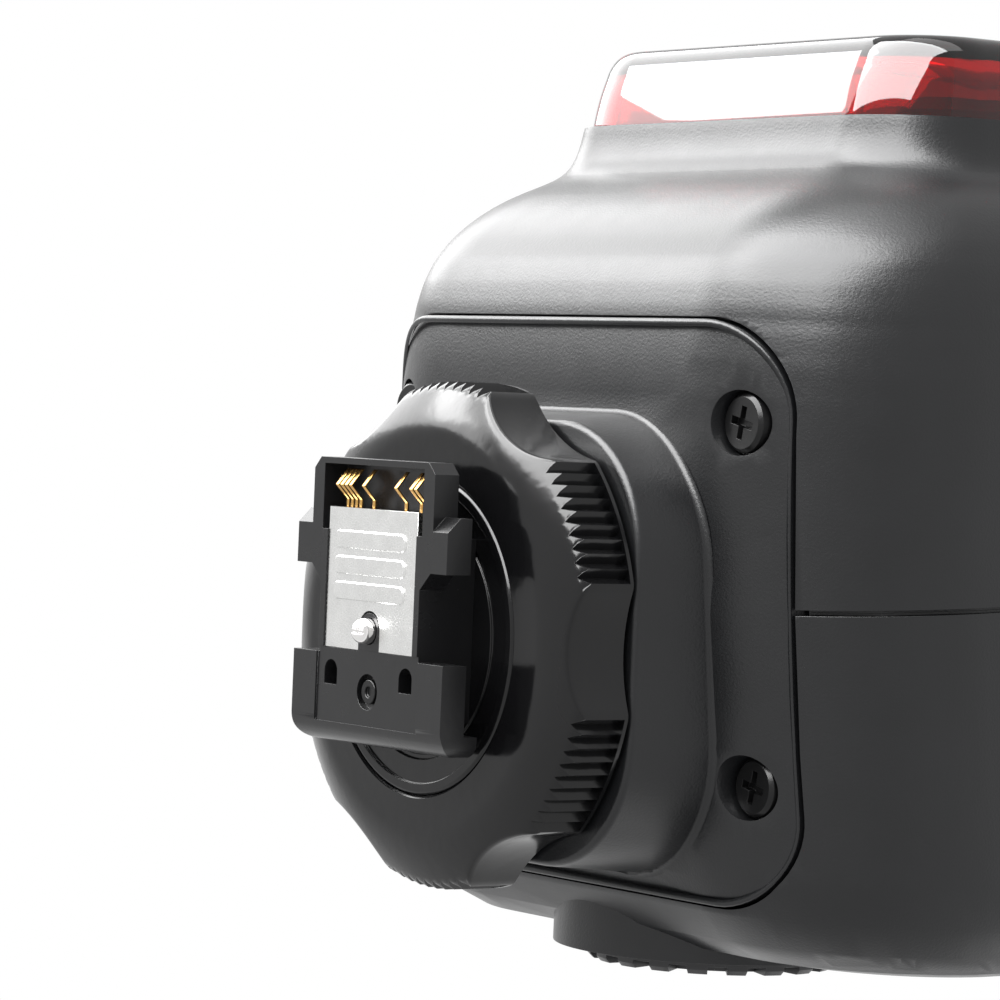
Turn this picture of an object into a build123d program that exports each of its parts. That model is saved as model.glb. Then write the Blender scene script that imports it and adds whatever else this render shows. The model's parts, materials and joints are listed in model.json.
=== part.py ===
from build123d import *
import os
from math import atan2, cos, degrees, radians, sin, sqrt, tan

# Frame: the origin is on the lock ring's axis at the underside of the shoe foot.
# +Z runs up towards the head, -Y is the front of the flash, +X its battery-free side.
# All sizes are in millimetres.

# Fits
RUN = 0.06  # radial clearance of a shaft that turns or slides in its bore
FREE = 0.3  # gap between pieces that move past each other
SEAT = 0.03  # clearance of a piece that is fixed in its seat
WIDE = 200.0  # reach of a cut that goes right across the flash

# Shoe foot, standard accessory shoe
SHOE_WIDTH = 18.6
SHOE_THICK = 2.0
RAIL_GAP = 2.35
NECK_WIDTH = 12.3
CONTACT_BLOCK_WIDTH = 15.0
SHOE_FRONT = -12.2
SHOE_REAR = 7.9
EAR_FRONT = -8.5
EAR_REAR = -4.64
REAR_BLOCK_FRONT = 1.54
REAR_HOOK_HEIGHT = 3.1
REAR_HOOK_DEPTH = 1.5
REAR_ROUND = 1.9
REAR_CORNER = 1.2
EAR_CHAMFER = 1.0
SHOE_FIELD_WIDTH = 12.7
SHOE_FIELD_DEPTH = 0.15
SLOT_X = 4.65
SLOT_Y = 2.9
SLOT_WIDTH = 1.6
SLOT_LENGTH = 1.75
SLOT_DEPTH = 1.5
FOOT_SCREW_Y = 4.0
FOOT_SCREW_RADIUS = 0.85
FOOT_DISH_RADIUS = 1.25
FOOT_DISH_DEPTH = 0.7
STEM_FRONT = -7.0
STEM_REAR = 5.74
SPIGOT_ENGAGE = 4.0

# Contact plate and contact springs
PLATE_STRIP_WIDTH = 11.0
PLATE_STRIP_FRONT = -8.73
PLATE_STRIP_REAR = 1.18
PLATE_STRIP_THICK = 0.5
PAD_RISE = 0.12
PAD_WIDTH = 8.8
PAD_X = -0.25
PAD_HEIGHT = 1.25
PAD_PITCH = 1.8
PAD_FIRST_Y = -6.5
PAD_COUNT = 3
PIN_NOTCH_WIDTH = 2.6
PIN_NOTCH_FRONT = -1.65
POCKET_WIDTH = 12.4
POCKET_FRONT = -11.75
POCKET_DEPTH = 1.9
POCKET_TAIL = 1.6
SPRING_XS = (-4.3, -3.75, -3.2, -2.65, -1.0, 3.0, 4.85, 5.4)
SPRING_WIDTH = 0.34
SPRING_THICK = 0.16

# Lock pin and lock ring
PIN_RADIUS = 0.9
PIN_Y = -0.24
PIN_REACH = 1.2
PIN_TRAVEL = 1.5
PIN_SLOT = 0.3
PIN_SLOT_DEPTH = 0.45
YOKE_THICK = 1.0
YOKE_WIDTH = 3.0
RING_RADIUS = 17.86
RING_BORE = 11.3
RING_LIP_BORE = 9.8
RING_LIP_Z = 5.5
RING_REAR_Z = 10.06
RING_FACE_RADIUS = 13.6
RING_EDGE_RISE = 1.35
RING_EDGE_BREAK = 0.5
# Share of the way out across the ring's dome, and share of its rise reached there
RING_DOME = ((0.5, 0.45), (1.0, 1.0))
RING_LOBES = 6
SCALLOP_FLOOR = 16.4
SCALLOP_RADIUS = 11.0
TEETH_PER_LOBE = 9
TOOTH_PITCH_DEG = 3.35
TOOTH_DEPTH = 0.62
TOOTH_RIM = 0.4
CAM_GROOVE_RADIUS = 11.6
CAM_GROOVE_LOW = 6.4
CAM_GROOVE_HIGH = 9.4

# Flange between the foot and the pedestal
FLANGE_RIM_RADIUS = 10.4
FLANGE_GROOVE_RADIUS = 8.7
FLANGE_GROOVE_WIDTH = 0.35
FLANGE_DISC_THICK = 0.85
FLANGE_RIM_RISE = 0.25
FLANGE_SPIGOT_RADIUS = 5.6
YOKE_ROOM_HALF = 1.9

# Body
BODY_HALF_WIDTH = 29.6
BODY_BOTTOM = 17.0
BODY_RAKE_DEG = 4.46
BODY_TOP = 102.0
BODY_REAR = 22.2
BODY_CORNER = 15.0
BODY_WALL = 2.0
UNDERSIDE_CROWN = 1.0
REAR_EDGE_ROUND = 6.5
REAR_EDGE_LOW = 8.5
REAR_EDGE_SIDE = 5.0
SHOULDER_Y = -15.0
RIM_Y = -37.8
RIM_DRAW_IN = 8.2
RIM_LOW = 29.0
RIM_HIGH = 80.0
RIM_CORNER = 7.5
# Share of the way from shoulder to rim, and how far the skin has drawn in there
SHOULDER_CURVE = (
    (0.0, 0.0), (0.2, 0.01), (0.38, 0.06), (0.53, 0.17), (0.66, 0.38),
    (0.77, 0.66), (0.87, 0.9), (1.0, 1.0),
)
SHOULDER_SECTIONS = 13
CORNER_FLATS = 3
REAR_TURN_DEG = (0, 22.5, 45, 67.5, 90)
SEAM_Y = -3.0
SEAM_LEAN_DEG = 3.0
SEAM_GROOVE_WIDTH = 0.4
SEAM_GROOVE_DEPTH = 0.5

# Base plate with its pedestal
PLATE_MARGIN = 6.2
PLATE_FRONT = -22.7
PLATE_REAR = 17.5
PLATE_CORNER = 6.6
PLATE_THICK = 2.4
PLATE_GAP = 0.28
PLATE_LEDGE = 5.6
LEDGE_THICK = 2.0
PEDESTAL_HALF_WIDTH = 16.8
PEDESTAL_FRONT = -16.4
PEDESTAL_REAR = 16.5
PEDESTAL_CORNER = 9.5
PEDESTAL_DRAFT = 0.9
PEDESTAL_WALL = 3.0
PEDESTAL_OVERLAP = 0.6
SCREW_MARGIN = 9.6
SCREW_FRONT_Y = -15.8
SCREW_REAR_Y = 9.1
SCREW_HEAD_RADIUS = 2.05
SCREW_HEAD_THICK = 1.1
SCREW_EDGE = 0.25
SCREW_TURN_DEG = 12.0
SCREW_SINK = 0.25
SCREW_SINK_REAR = 0.7
SCREW_SHANK_RADIUS = 1.1
SCREW_LENGTH = 5.2
CROSS_LENGTH = 2.3
CROSS_WIDTH = 0.55
CROSS_DEPTH = 0.6

# Red window and what it covers
WINDOW_DEPTH = 5.5
WINDOW_WALL = 1.8
WINDOW_ROUND = 4.0
WINDOW_INSET = 0.5
LAMP_RADIUS = 4.6
LAMP_X = 9.0
LAMP_Z = 44.0
EYE_RADIUS = 6.5
EYE_Z = 66.0
LAMP_STAND = 4.5
LAMP_BEVEL = 1.2
EYE_BEVEL = 1.8

# Rear controls
PANEL_RECESS = 0.9
PANEL_MARGIN = 6.1
PANEL_LOW = 42.6
PANEL_HIGH = 96.5
LCD_MARGIN = 1.5
LCD_LOW = 63.5
LCD_HIGH = 94.5
LCD_GLASS = 1.5
LCD_CORNER = 1.5
LCD_SEAT_LIP = 1.6
LCD_MODULE_THICK = 3.1
PANEL_CORNER = 3.0
KEY_XS = (-16.5, -5.5, 5.5, 16.5)
KEY_Z = 57.5
KEY_WIDTH = 8.6
KEY_HEIGHT = 4.2
KEY_TRAVEL = 0.6
KEY_STAND = 0.7
KEY_FOOT = 2.0
KEY_FLANGE = 1.0
KEY_EDGE = 0.35
ROUND_KEY_X = 16.5
ROUND_KEY_Z = 48.6
ROUND_KEY_RADIUS = 3.6
POWER_WIDTH = 4.4
POWER_HEIGHT = 3.0
POWER_TRAVEL = 3.2
POWER_GROOVE = 0.5
POWER_GROOVE_PITCH = 1.2
DIAL_Z = 31.8
DIAL_RADIUS = 9.3
DIAL_BORE = 5.3
DIAL_FACE_Y = 23.9
DIAL_THICK = 3.4
DIAL_RIBS = 20
DIAL_RIB_DEPTH = 0.6
DIAL_NOTCH_WIDTH = 1.4
DIAL_NOTCH_START = 6.7
DIAL_BOSS_RADIUS = 11.8
DIAL_BOSS_Y = 22.8
DIAL_BOSS_DEPTH = 4.4
DIAL_WELL_DEPTH = 2.6
SET_RADIUS = 4.6
SET_STEM_LENGTH = 5.0
SET_SINK = 0.3
SET_DISH_RADIUS = 20.0
SET_DISH_DEPTH = 0.4
DIAL_SLEEVE_STEP = 1.6

# Battery pack, bay and latch on the -X side
PACK_FRONT = -24.0
PACK_REAR = -8.3
PACK_LOW = 45.0
PACK_HIGH = 79.0
PACK_INNER_X = 8.0
PACK_CORNER = 2.5
BAY_WALL = 1.0
BAY_END = 3.0
NOTCH_RADIUS = 9.0
NOTCH_DEPTH = 1.6
NOTCH_WIDTH = 12.0
TERMINAL_PITCH = 6.0
TERMINAL_WIDTH = 5.0
TERMINAL_THICK = 0.6
TERMINAL_REACH = 2.0
TERMINAL_CLEAR = 1.6
BAY_SETBACK = 2.4
LATCH_LENGTH = 9.0
LATCH_WIDTH = 4.6
LATCH_TRAVEL = 3.0
LATCH_DROP = 2.2
LATCH_PLATE_THICK = 1.1
LATCH_PLATE_GROW = 1.5
LATCH_RIDGES = 4

# Sockets and their cover on the +X side
COVER_FRONT = -24.0
COVER_REAR = -8.6
COVER_LOW = 50.0
COVER_HIGH = 80.0
COVER_THICK = 1.6
COVER_CORNER = 2.0
COVER_GRIP_DEPTH = 1.0
COVER_GRIP_LENGTH = 8.0
COVER_HINGE_RADIUS = 0.9
COVER_BEND_WIDTH = 2.0
COVER_BEND_DEPTH = 0.7
SOCKET_SINK = 0.2
SYNC_Y = -15.5
SYNC_Z = 73.0
SYNC_BORE = 1.75
SYNC_RADIUS = 3.4
SYNC_DEPTH = 11.0
USB_Z = 60.0
USB_WIDTH = 9.4
USB_HEIGHT = 3.6
USB_SHELL = 0.4
USB_DEPTH = 7.0
USB_TONGUE_THICK = 0.7
USB_TONGUE_WIDTH = 6.4

# Electronics in the body
BOARD_Y = 13.0
BOARD_THICK = 1.6
BOARD_MARGIN = 7.6
BOARD_LOW = 33.0
BOARD_HIGH = 92.0
# Middle in X and Z, width, height and thickness of the board's larger components
BOARD_CHIPS = ((0, 56, 12, 12, 1.6), (-16, 77, 8, 14, 4.0), (15.5, 73, 7, 14, 3.0))
CAPACITOR_RADIUS = 8.5
CAPACITOR_LENGTH = 42.0
CAPACITOR_Y = -10.0
CAPACITOR_Z = 34.0

# Swivel and neck
SWIVEL_Y = -2.0
SWIVEL_RADIUS = 22.0
SWIVEL_THICK = 1.8
SWIVEL_SPIGOT = 12.0
SWIVEL_WIRE_BORE = 4.0
RETAINER_RADIUS = 15.5
RETAINER_THICK = 2.4
NECK_HALF_WIDTH = 17.5
NECK_HALF_DEPTH = 12.0
TILT_Z = 124.0
BARREL_RADIUS = 14.0
AXLE_RADIUS = 4.0
AXLE_HALF_LENGTH = 26.0

# Head
HEAD_HALF_WIDTH = 37.5
HEAD_REAR_TAPER = 2.0
HEAD_TAPER_FRONT = -60.0
HEAD_TAPER_REAR = -22.0
HEAD_UNDER = 17.0
HEAD_TOP = 156.0
HEAD_FRONT = -80.0
HEAD_REAR_ROUND = 12.0
HEAD_EDGE_ROUND = 6.0
HEAD_WALL = 2.0
HEAD_SEAM_Z = 143.0
SLOT_CLEAR = 0.6
CHEEK_BOSS_RADIUS = 7.5
CHEEK_BOSS_DEPTH = 3.5
CAP_RADIUS = 9.0
CAP_SINK = 0.8
CAP_STAND = 0.4
CAP_EDGE = 0.3
RELEASE_RADIUS = 7.4
RELEASE_LIP = 1.0
RELEASE_STAND = 1.6
RELEASE_FOOT = 2.0
RELEASE_EDGE = 0.6
BEZEL_DEPTH = 5.0
BEZEL_GROW = 0.6
BEZEL_EDGE = 1.3
LENS_MARGIN = 5.5
LENS_LOW = 111.5
LENS_HIGH = 145.5
LENS_THICK = 2.2
LENS_RECESS = 1.2
LENS_LIP = 1.5
LENS_CORNER = 1.5
LENS_RINGS = 3
LENS_RING_RADIUS = 5.0
LENS_RING_PITCH = 4.2
LENS_RING_WIDTH = 0.9
LENS_RING_DEPTH = 0.5

# Cards in the slot above the lens
CARD_MARGIN = 9.5
CARD_THICK = 0.8
CARD_LOW = 151.0
PANEL_PLATE_THICK = 1.2
PANEL_PLATE_LOW = 149.2
CARD_LENGTH = 48.0
PANEL_RIBS = 9
PANEL_RIB_START = 8.0
PANEL_RIB_PITCH = 4.2
PANEL_RIB_WIDTH = 1.4
PANEL_RIB_MARGIN = 3.0
TRAY_LOW = 147.6
TRAY_THICK = 0.8
CARD_TAB_HALF_WIDTH = 9.0
CARD_TAB_DEPTH = 1.4

# Zoom drive
REFLECTOR_MARGIN = 8.5
REFLECTOR_Z = 129.0
REFLECTOR_RADIUS = 14.0
REFLECTOR_WALL = 0.8
REFLECTOR_MOUTH_Y = -74.0
TUBE_RADIUS = 2.2
TUBE_FROM_BACK = 6.0
CARRIAGE_THICK = 2.4
ROD_RADIUS = 1.25
ROD_MARGIN = 13.5
ZOOM_AXIS_Z = 111.9
SCREW_RADIUS = 1.25
SCREW_FLAT = 0.35
MOTOR_RADIUS = 2.8
MOTOR_LENGTH = 11.0
HEAD_SCREW_MARGIN = 7.5
HEAD_SCREW_Y = -35.0
HEAD_SCREW_SHANK = 1.0
HEAD_SCREW_SINK = 0.4
HEAD_SCREW_HEAD = 1.0
HEAD_SCREW_LENGTH = 9.6
HEAD_POST_HALF = 3.0
HEAD_SCREW_RADIUS = 1.9

# Sizes that follow from the ones above
FLANGE_Z = SHOE_THICK + RAIL_GAP
RING_FACE_Z = FLANGE_Z
PEDESTAL_Z = RING_REAR_Z + FREE
PLATE_MID_Y = (PLATE_FRONT + PLATE_REAR) / 2
PLATE_LENGTH = PLATE_REAR - PLATE_FRONT
PEDESTAL_MID_Y = (PEDESTAL_FRONT + PEDESTAL_REAR) / 2
PEDESTAL_LENGTH = PEDESTAL_REAR - PEDESTAL_FRONT
SWIVEL_LOW = BODY_TOP + FREE
SWIVEL_HIGH = SWIVEL_LOW + SWIVEL_THICK
HEAD_LOW = TILT_Z - HEAD_UNDER
HEAD_REAR = SWIVEL_Y + HEAD_UNDER
BEZEL_Y = HEAD_FRONT - BEZEL_DEPTH
PANEL_Y = BODY_REAR - PANEL_RECESS
YOKE_Z = CAM_GROOVE_LOW + FREE
BACK_Y = REFLECTOR_MOUTH_Y + REFLECTOR_RADIUS + REFLECTOR_WALL
MOTOR_Y = SWIVEL_Y - HEAD_UNDER - FREE
PACK_OUT = -BODY_HALF_WIDTH - 5.0
PACK_MID_Y = (PACK_FRONT + PACK_REAR) / 2
PACK_MID_Z = (PACK_LOW + PACK_HIGH) / 2
RIM_HALF_WIDTH = BODY_HALF_WIDTH - RIM_DRAW_IN
PLATE_HALF_WIDTH = BODY_HALF_WIDTH - PLATE_MARGIN
SCREW_X = BODY_HALF_WIDTH - SCREW_MARGIN
PANEL_HALF_WIDTH = BODY_HALF_WIDTH - PANEL_MARGIN
LCD_HALF_WIDTH = PANEL_HALF_WIDTH - LCD_MARGIN
BOARD_HALF_WIDTH = BODY_HALF_WIDTH - BOARD_MARGIN
HEAD_REAR_HALF_WIDTH = HEAD_HALF_WIDTH - HEAD_REAR_TAPER
LENS_HALF_WIDTH = HEAD_HALF_WIDTH - LENS_MARGIN
CARD_HALF_WIDTH = HEAD_HALF_WIDTH - CARD_MARGIN
REFLECTOR_HALF_WIDTH = HEAD_HALF_WIDTH - REFLECTOR_MARGIN
ROD_X = HEAD_HALF_WIDTH - ROD_MARGIN
HEAD_SCREW_X = HEAD_HALF_WIDTH - HEAD_SCREW_MARGIN
KEY_SEAT_Y = PANEL_Y - BODY_WALL + PANEL_RECESS
DIAL_WELL_Y = DIAL_BOSS_Y - DIAL_WELL_DEPTH
DIAL_SLEEVE = DIAL_BORE - DIAL_SLEEVE_STEP
SOCKET_FACE_X = BODY_HALF_WIDTH - COVER_THICK - FREE - SOCKET_SINK
YOKE_ROOM_HIGH = YOKE_Z + YOKE_THICK + PIN_TRAVEL + FREE


def at_x(x):
    """Drawing plane across X, drawn in Y and Z."""
    return Plane.YZ.offset(x)


def at_y(y):
    """Drawing plane across Y, drawn in X and Z."""
    return Plane.XZ.offset(-y)


def at_z(z):
    """Drawing plane across Z, drawn in X and Y."""
    return Plane.XY.offset(z)


def block(x0, x1, y0, y1, z0, z1):
    """Box between two corners."""
    place = Pos((x0 + x1) / 2, (y0 + y1) / 2, (z0 + z1) / 2)
    return place * Box(x1 - x0, y1 - y0, z1 - z0)


def drum_x(radius, y, z, x0, x1):
    """Cylinder along X from x0 to x1."""
    return Pos((x0 + x1) / 2, y, z) * Rot(0, 90, 0) * Cylinder(radius, x1 - x0)


def drum_y(radius, x, z, y0, y1):
    """Cylinder along Y from y0 to y1."""
    return Pos(x, (y0 + y1) / 2, z) * Rot(90, 0, 0) * Cylinder(radius, y1 - y0)


def drum_z(radius, x, y, z0, z1):
    """Cylinder along Z from z0 to z1."""
    return Pos(x, y, (z0 + z1) / 2) * Cylinder(radius, z1 - z0)


def along_y(sketch, y0, y1):
    """Extrude a sketch in X and Z from y0 to y1."""
    return extrude(at_y(y1) * sketch, y1 - y0)


def along_z(sketch, z0, z1):
    """Extrude a sketch in X and Y from z0 to z1."""
    return extrude(at_z(z0) * sketch, z1 - z0)


def along_x(sketch, x0, x1):
    """Extrude a sketch in Y and Z from x0 to x1."""
    return extrude(at_x(x0) * sketch, x1 - x0)


def face_of(points):
    """Face inside a closed polyline."""
    return make_face(Polyline(*points, points[0]))


def window_rect(half_width, low, high, corner):
    """Rounded rectangle in X and Z."""
    return Pos(0, (low + high) / 2) * RectangleRounded(2 * half_width, high - low, corner)


def facet_rect(half_width, low, high, corner):
    """Rectangle in X and Z whose corners are turned by short flats."""
    points = []
    for quarter in range(4):
        side = 1 if quarter in (0, 3) else -1
        middle_x = side * (half_width - corner)
        middle_z = high - corner if quarter < 2 else low + corner
        for step in range(CORNER_FLATS + 1):
            angle = radians(90 * (quarter + step / CORNER_FLATS))
            points.append((middle_x + corner * cos(angle), middle_z + corner * sin(angle)))
    return face_of(points)


# Body form

def underside_z(y):
    """Height of the raked, slightly crowned underside on the middle line."""
    across = (y - PLATE_MID_Y) / (PLATE_LENGTH / 2)
    crown = UNDERSIDE_CROWN * max(1 - across**2, 0)
    return BODY_BOTTOM + y * tan(radians(BODY_RAKE_DEG)) - crown


def body_section(y, drawn_in, inset, turned=0.0):
    """Rounded section of the body at y, between its full size and the window rim."""
    full_low = underside_z(y)
    half = BODY_HALF_WIDTH + (RIM_HALF_WIDTH - BODY_HALF_WIDTH) * drawn_in - inset
    low = full_low + (RIM_LOW - full_low) * drawn_in + inset
    high = BODY_TOP + (RIM_HIGH - BODY_TOP) * drawn_in - inset
    corner = BODY_CORNER + (RIM_CORNER - BODY_CORNER) * drawn_in
    corner = max(corner - inset - REAR_EDGE_SIDE * turned, 1.0)
    half -= REAR_EDGE_SIDE * turned
    low += REAR_EDGE_LOW * turned
    high -= REAR_EDGE_SIDE * turned
    outline = window_rect if inset == 0 else facet_rect
    return at_y(y) * outline(half, low, high, corner)


def shoulder_steps(fine):
    """Pairs of shoulder share and draw-in: finely along the curve, or its few bends."""
    if not fine:
        return [SHOULDER_CURVE[n] for n in (0, 1, 3, 6, 7)]
    curve = Spline(*SHOULDER_CURVE)
    steps = [curve @ (n / SHOULDER_SECTIONS) for n in range(SHOULDER_SECTIONS + 1)]
    return [(step.X, min(max(step.Y, 0), 1)) for step in steps]


def body_form(inset):
    """The body's form as one ruled loft, drawn in by inset all round, plainer inside."""
    fine = inset == 0
    rim = RIM_Y + inset
    rear = BODY_REAR - inset
    turn = REAR_EDGE_ROUND
    sections = []
    for share, drawn_in in reversed(shoulder_steps(fine)):
        y = SHOULDER_Y + (rim - SHOULDER_Y) * share
        sections.append(body_section(y, drawn_in, inset))
    sections.append(body_section(PLATE_MID_Y, 0, inset))
    sections.append(body_section((PLATE_MID_Y + rear - turn) / 2, 0, inset))
    for angle in REAR_TURN_DEG if fine else REAR_TURN_DEG[::2]:
        y = rear - turn * (1 - sin(radians(angle)))
        sections.append(body_section(y, 0, inset, 1 - cos(radians(angle))))
    return loft(sections, ruled=True)


def seam_half(front):
    """Half space in front of the seam, or behind it."""
    side = -WIDE / 2 if front else WIDE / 2
    lean = Pos(0, SEAM_Y, BODY_BOTTOM) * Rot(SEAM_LEAN_DEG, 0, 0)
    return lean * Pos(0, side, 0) * Box(WIDE, WIDE, 2 * WIDE)


def seam_groove(skin, shallow):
    """Fine groove round the body where its two shells meet."""
    lean = Pos(0, SEAM_Y, BODY_BOTTOM) * Rot(SEAM_LEAN_DEG, 0, 0)
    return (skin & lean * Box(WIDE, SEAM_GROOVE_WIDTH, 2 * WIDE)) - shallow


def plate_prism(grow, z0, z1):
    """Upright prism of the base plate's outline."""
    shape = RectangleRounded(
        2 * (PLATE_HALF_WIDTH + grow), PLATE_LENGTH + 2 * grow, max(PLATE_CORNER + grow, 1.0)
    )
    return along_z(Pos(0, PLATE_MID_Y) * shape, z0, z1)


def plate_surface_z(x, y):
    """Height of the body's underside at a point of the base plate."""
    flat = underside_z(y)
    past = abs(x) - (BODY_HALF_WIDTH - BODY_CORNER)
    if past <= 0:
        return flat
    return flat + BODY_CORNER - sqrt(BODY_CORNER**2 - past**2)


def screw_places():
    """Head-seat points of the four base screws."""
    places = []
    for x in (-SCREW_X, SCREW_X):
        for y, sink in ((SCREW_FRONT_Y, SCREW_SINK), (SCREW_REAR_Y, SCREW_SINK_REAR)):
            places.append((x, y, plate_surface_z(x, y) + sink))
    return places


def cross_recess(radius, depth, width):
    """Cross-shaped driver recess, opening towards -Z from the origin."""
    arm = block(-radius, radius, -width / 2, width / 2, -0.1, depth)
    return arm + Rot(0, 0, 90) * arm


def build_body():
    """Front shell, rear shell and base plate, cut from one lofted form."""
    skin = body_form(0)
    shallow = body_form(SEAM_GROOVE_DEPTH)
    hollow = body_form(BODY_WALL)
    plate_back = body_form(PLATE_THICK)
    ledge_back = body_form(PLATE_THICK + LEDGE_THICK)
    low, high = 0.0, 40.0

    wall = skin - hollow
    ledge = (skin & plate_prism(LEDGE_THICK, low, high)) - ledge_back
    shell = wall + ledge
    pocket = (skin & plate_prism(PLATE_GAP, low, high)) - plate_back
    shell -= pocket
    shell -= plate_prism(-PLATE_LEDGE, low, high) - plate_prism(-PLATE_LEDGE, 30, high)
    for x, y, z in screw_places():
        shell -= drum_z(SCREW_SHANK_RADIUS + SEAT, x, y, z, z + SCREW_LENGTH + 2)
        shell -= drum_z(SCREW_HEAD_RADIUS + SEAT, x, y, z, z + SCREW_HEAD_THICK + SEAT)
    shell -= seam_groove(skin, shallow)

    plate = (skin & plate_prism(0, low, high)) - plate_back
    for x, y, z in screw_places():
        plate -= drum_z(SCREW_HEAD_RADIUS + 0.2, x, y, low, z + SCREW_HEAD_THICK)
        plate -= drum_z(SCREW_SHANK_RADIUS + SEAT, x, y, z, high)
    return shell, skin, plate + pedestal()


def pedestal_outline(grow):
    """Rounded square of the pedestal, in X and Y."""
    shape = RectangleRounded(
        2 * (PEDESTAL_HALF_WIDTH + grow), PEDESTAL_LENGTH + 2 * grow, PEDESTAL_CORNER + grow
    )
    return Pos(0, PEDESTAL_MID_Y) * shape


def pedestal():
    """Drafted block that carries the lock ring, hollow from above, bored for the foot."""
    top = BODY_BOTTOM + PLATE_REAR * tan(radians(BODY_RAKE_DEG)) + PEDESTAL_OVERLAP
    rise = top - PEDESTAL_Z
    foot_end = at_z(PEDESTAL_Z) * pedestal_outline(-PEDESTAL_DRAFT)
    outer = extrude(foot_end, rise, taper=-degrees(atan2(PEDESTAL_DRAFT, rise)))
    inside = pedestal_outline(-PEDESTAL_WALL - PEDESTAL_DRAFT)
    room = along_z(inside, PEDESTAL_Z + PEDESTAL_WALL, top + 1)
    column = drum_z(FLANGE_SPIGOT_RADIUS + PEDESTAL_WALL, 0, 0, PEDESTAL_Z, top)
    bore = drum_z(FLANGE_SPIGOT_RADIUS + SEAT, 0, 0, PEDESTAL_Z - 1, top + 1)
    return outer - room + column - bore


# Foot

def shoe_foot():
    """Foot with its contact block, ears, rear block, neck and spigot."""
    half = SHOE_WIDTH / 2
    neck = NECK_WIDTH / 2
    block_half = CONTACT_BLOCK_WIDTH / 2
    front = block(-block_half, block_half, SHOE_FRONT, EAR_REAR, 0, SHOE_THICK)
    front = chamfer(front.edges().filter_by(Axis.Z).group_by(Axis.Y)[0], 0.8)
    slope = face_of([
        (block_half, EAR_REAR - 0.1), (neck, EAR_REAR + 1.2), (-neck, EAR_REAR + 1.2),
        (-block_half, EAR_REAR - 0.1),
    ])
    waist = along_z(slope, 0, SHOE_THICK)
    waist += block(-neck, neck, EAR_REAR, SHOE_REAR - 2, 0, SHOE_THICK)
    ears = block(-half, half, EAR_FRONT, EAR_REAR, 0, SHOE_THICK)
    low_front = ears.edges().filter_by(Axis.X).group_by(Axis.Y)[0].group_by(Axis.Z)[0]
    ears = chamfer(low_front, EAR_CHAMFER)
    stem_high = FLANGE_Z + FLANGE_RIM_RISE
    stem = block(-neck, neck, STEM_FRONT, STEM_REAR, SHOE_THICK / 2, stem_high)
    foot = front + waist + ears + rear_block() + stem
    foot += drum_z(FLANGE_SPIGOT_RADIUS, 0, 0, FLANGE_Z, PEDESTAL_Z + SPIGOT_ENGAGE)

    strip = PLATE_STRIP_WIDTH / 2 + SEAT
    seat_top = PLATE_STRIP_THICK + PAD_RISE
    foot -= block(-strip, strip, PLATE_STRIP_FRONT - 0.2, PLATE_STRIP_REAR, -1, seat_top)
    tongue = PIN_NOTCH_WIDTH / 2 - SEAT
    seat = block(-tongue, tongue, PIN_Y, PLATE_STRIP_REAR, PAD_RISE, 1)
    foot += seat + drum_z(tongue, 0, PIN_Y, PAD_RISE, 1)
    pocket = POCKET_WIDTH / 2
    foot -= block(-pocket, pocket, POCKET_FRONT, PLATE_STRIP_FRONT, -1, POCKET_DEPTH)
    tail = PLATE_STRIP_FRONT + POCKET_TAIL
    foot -= block(-pocket, pocket, PLATE_STRIP_FRONT - 0.1, tail, 0, POCKET_DEPTH)
    field = SHOE_FIELD_WIDTH / 2
    field_rear = SHOE_REAR - REAR_ROUND + 0.4
    foot -= block(-field, field, REAR_BLOCK_FRONT - 0.4, field_rear, -1, SHOE_FIELD_DEPTH)
    foot -= foot_slots()
    foot -= drum_z(FOOT_DISH_RADIUS, 0, FOOT_SCREW_Y, -1, FOOT_DISH_DEPTH)
    foot -= drum_z(FOOT_SCREW_RADIUS * 0.6, 0, FOOT_SCREW_Y, 0, 5)
    foot -= drum_z(PIN_RADIUS + RUN, 0, PIN_Y, -1, YOKE_Z + 1)
    return foot - yoke_room()


def yoke_room():
    """Slot across the foot's spigot and the flange's hub for the yoke and its travel."""
    half = YOKE_ROOM_HALF
    return block(-half, half, -WIDE, WIDE, YOKE_Z - FREE, YOKE_ROOM_HIGH)


def rear_block():
    """Wide block at the foot's rear: rounded below, with a hook that rises behind the rails."""
    half = SHOE_WIDTH / 2
    hook = SHOE_REAR - REAR_HOOK_DEPTH
    bend = REAR_ROUND * (1 - sin(radians(45)))
    lines = [
        Line((REAR_BLOCK_FRONT, 0), (SHOE_REAR - REAR_ROUND, 0)),
        ThreePointArc(
            (SHOE_REAR - REAR_ROUND, 0), (SHOE_REAR - bend, bend), (SHOE_REAR, REAR_ROUND)
        ),
        Line((SHOE_REAR, REAR_ROUND), (SHOE_REAR, REAR_HOOK_HEIGHT)),
        Line((SHOE_REAR, REAR_HOOK_HEIGHT), (hook, REAR_HOOK_HEIGHT)),
        Line((hook, REAR_HOOK_HEIGHT), (hook, SHOE_THICK)),
        Line((hook, SHOE_THICK), (REAR_BLOCK_FRONT, SHOE_THICK)),
        Line((REAR_BLOCK_FRONT, SHOE_THICK), (REAR_BLOCK_FRONT, 0)),
    ]
    side = along_x(make_face(Curve() + lines), -half, half)
    length = 2 * (SHOE_REAR - REAR_BLOCK_FRONT)
    plan = Pos(0, REAR_BLOCK_FRONT) * RectangleRounded(SHOE_WIDTH, length, REAR_CORNER)
    return side & along_z(plan, -1, REAR_HOOK_HEIGHT + 1)


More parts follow.
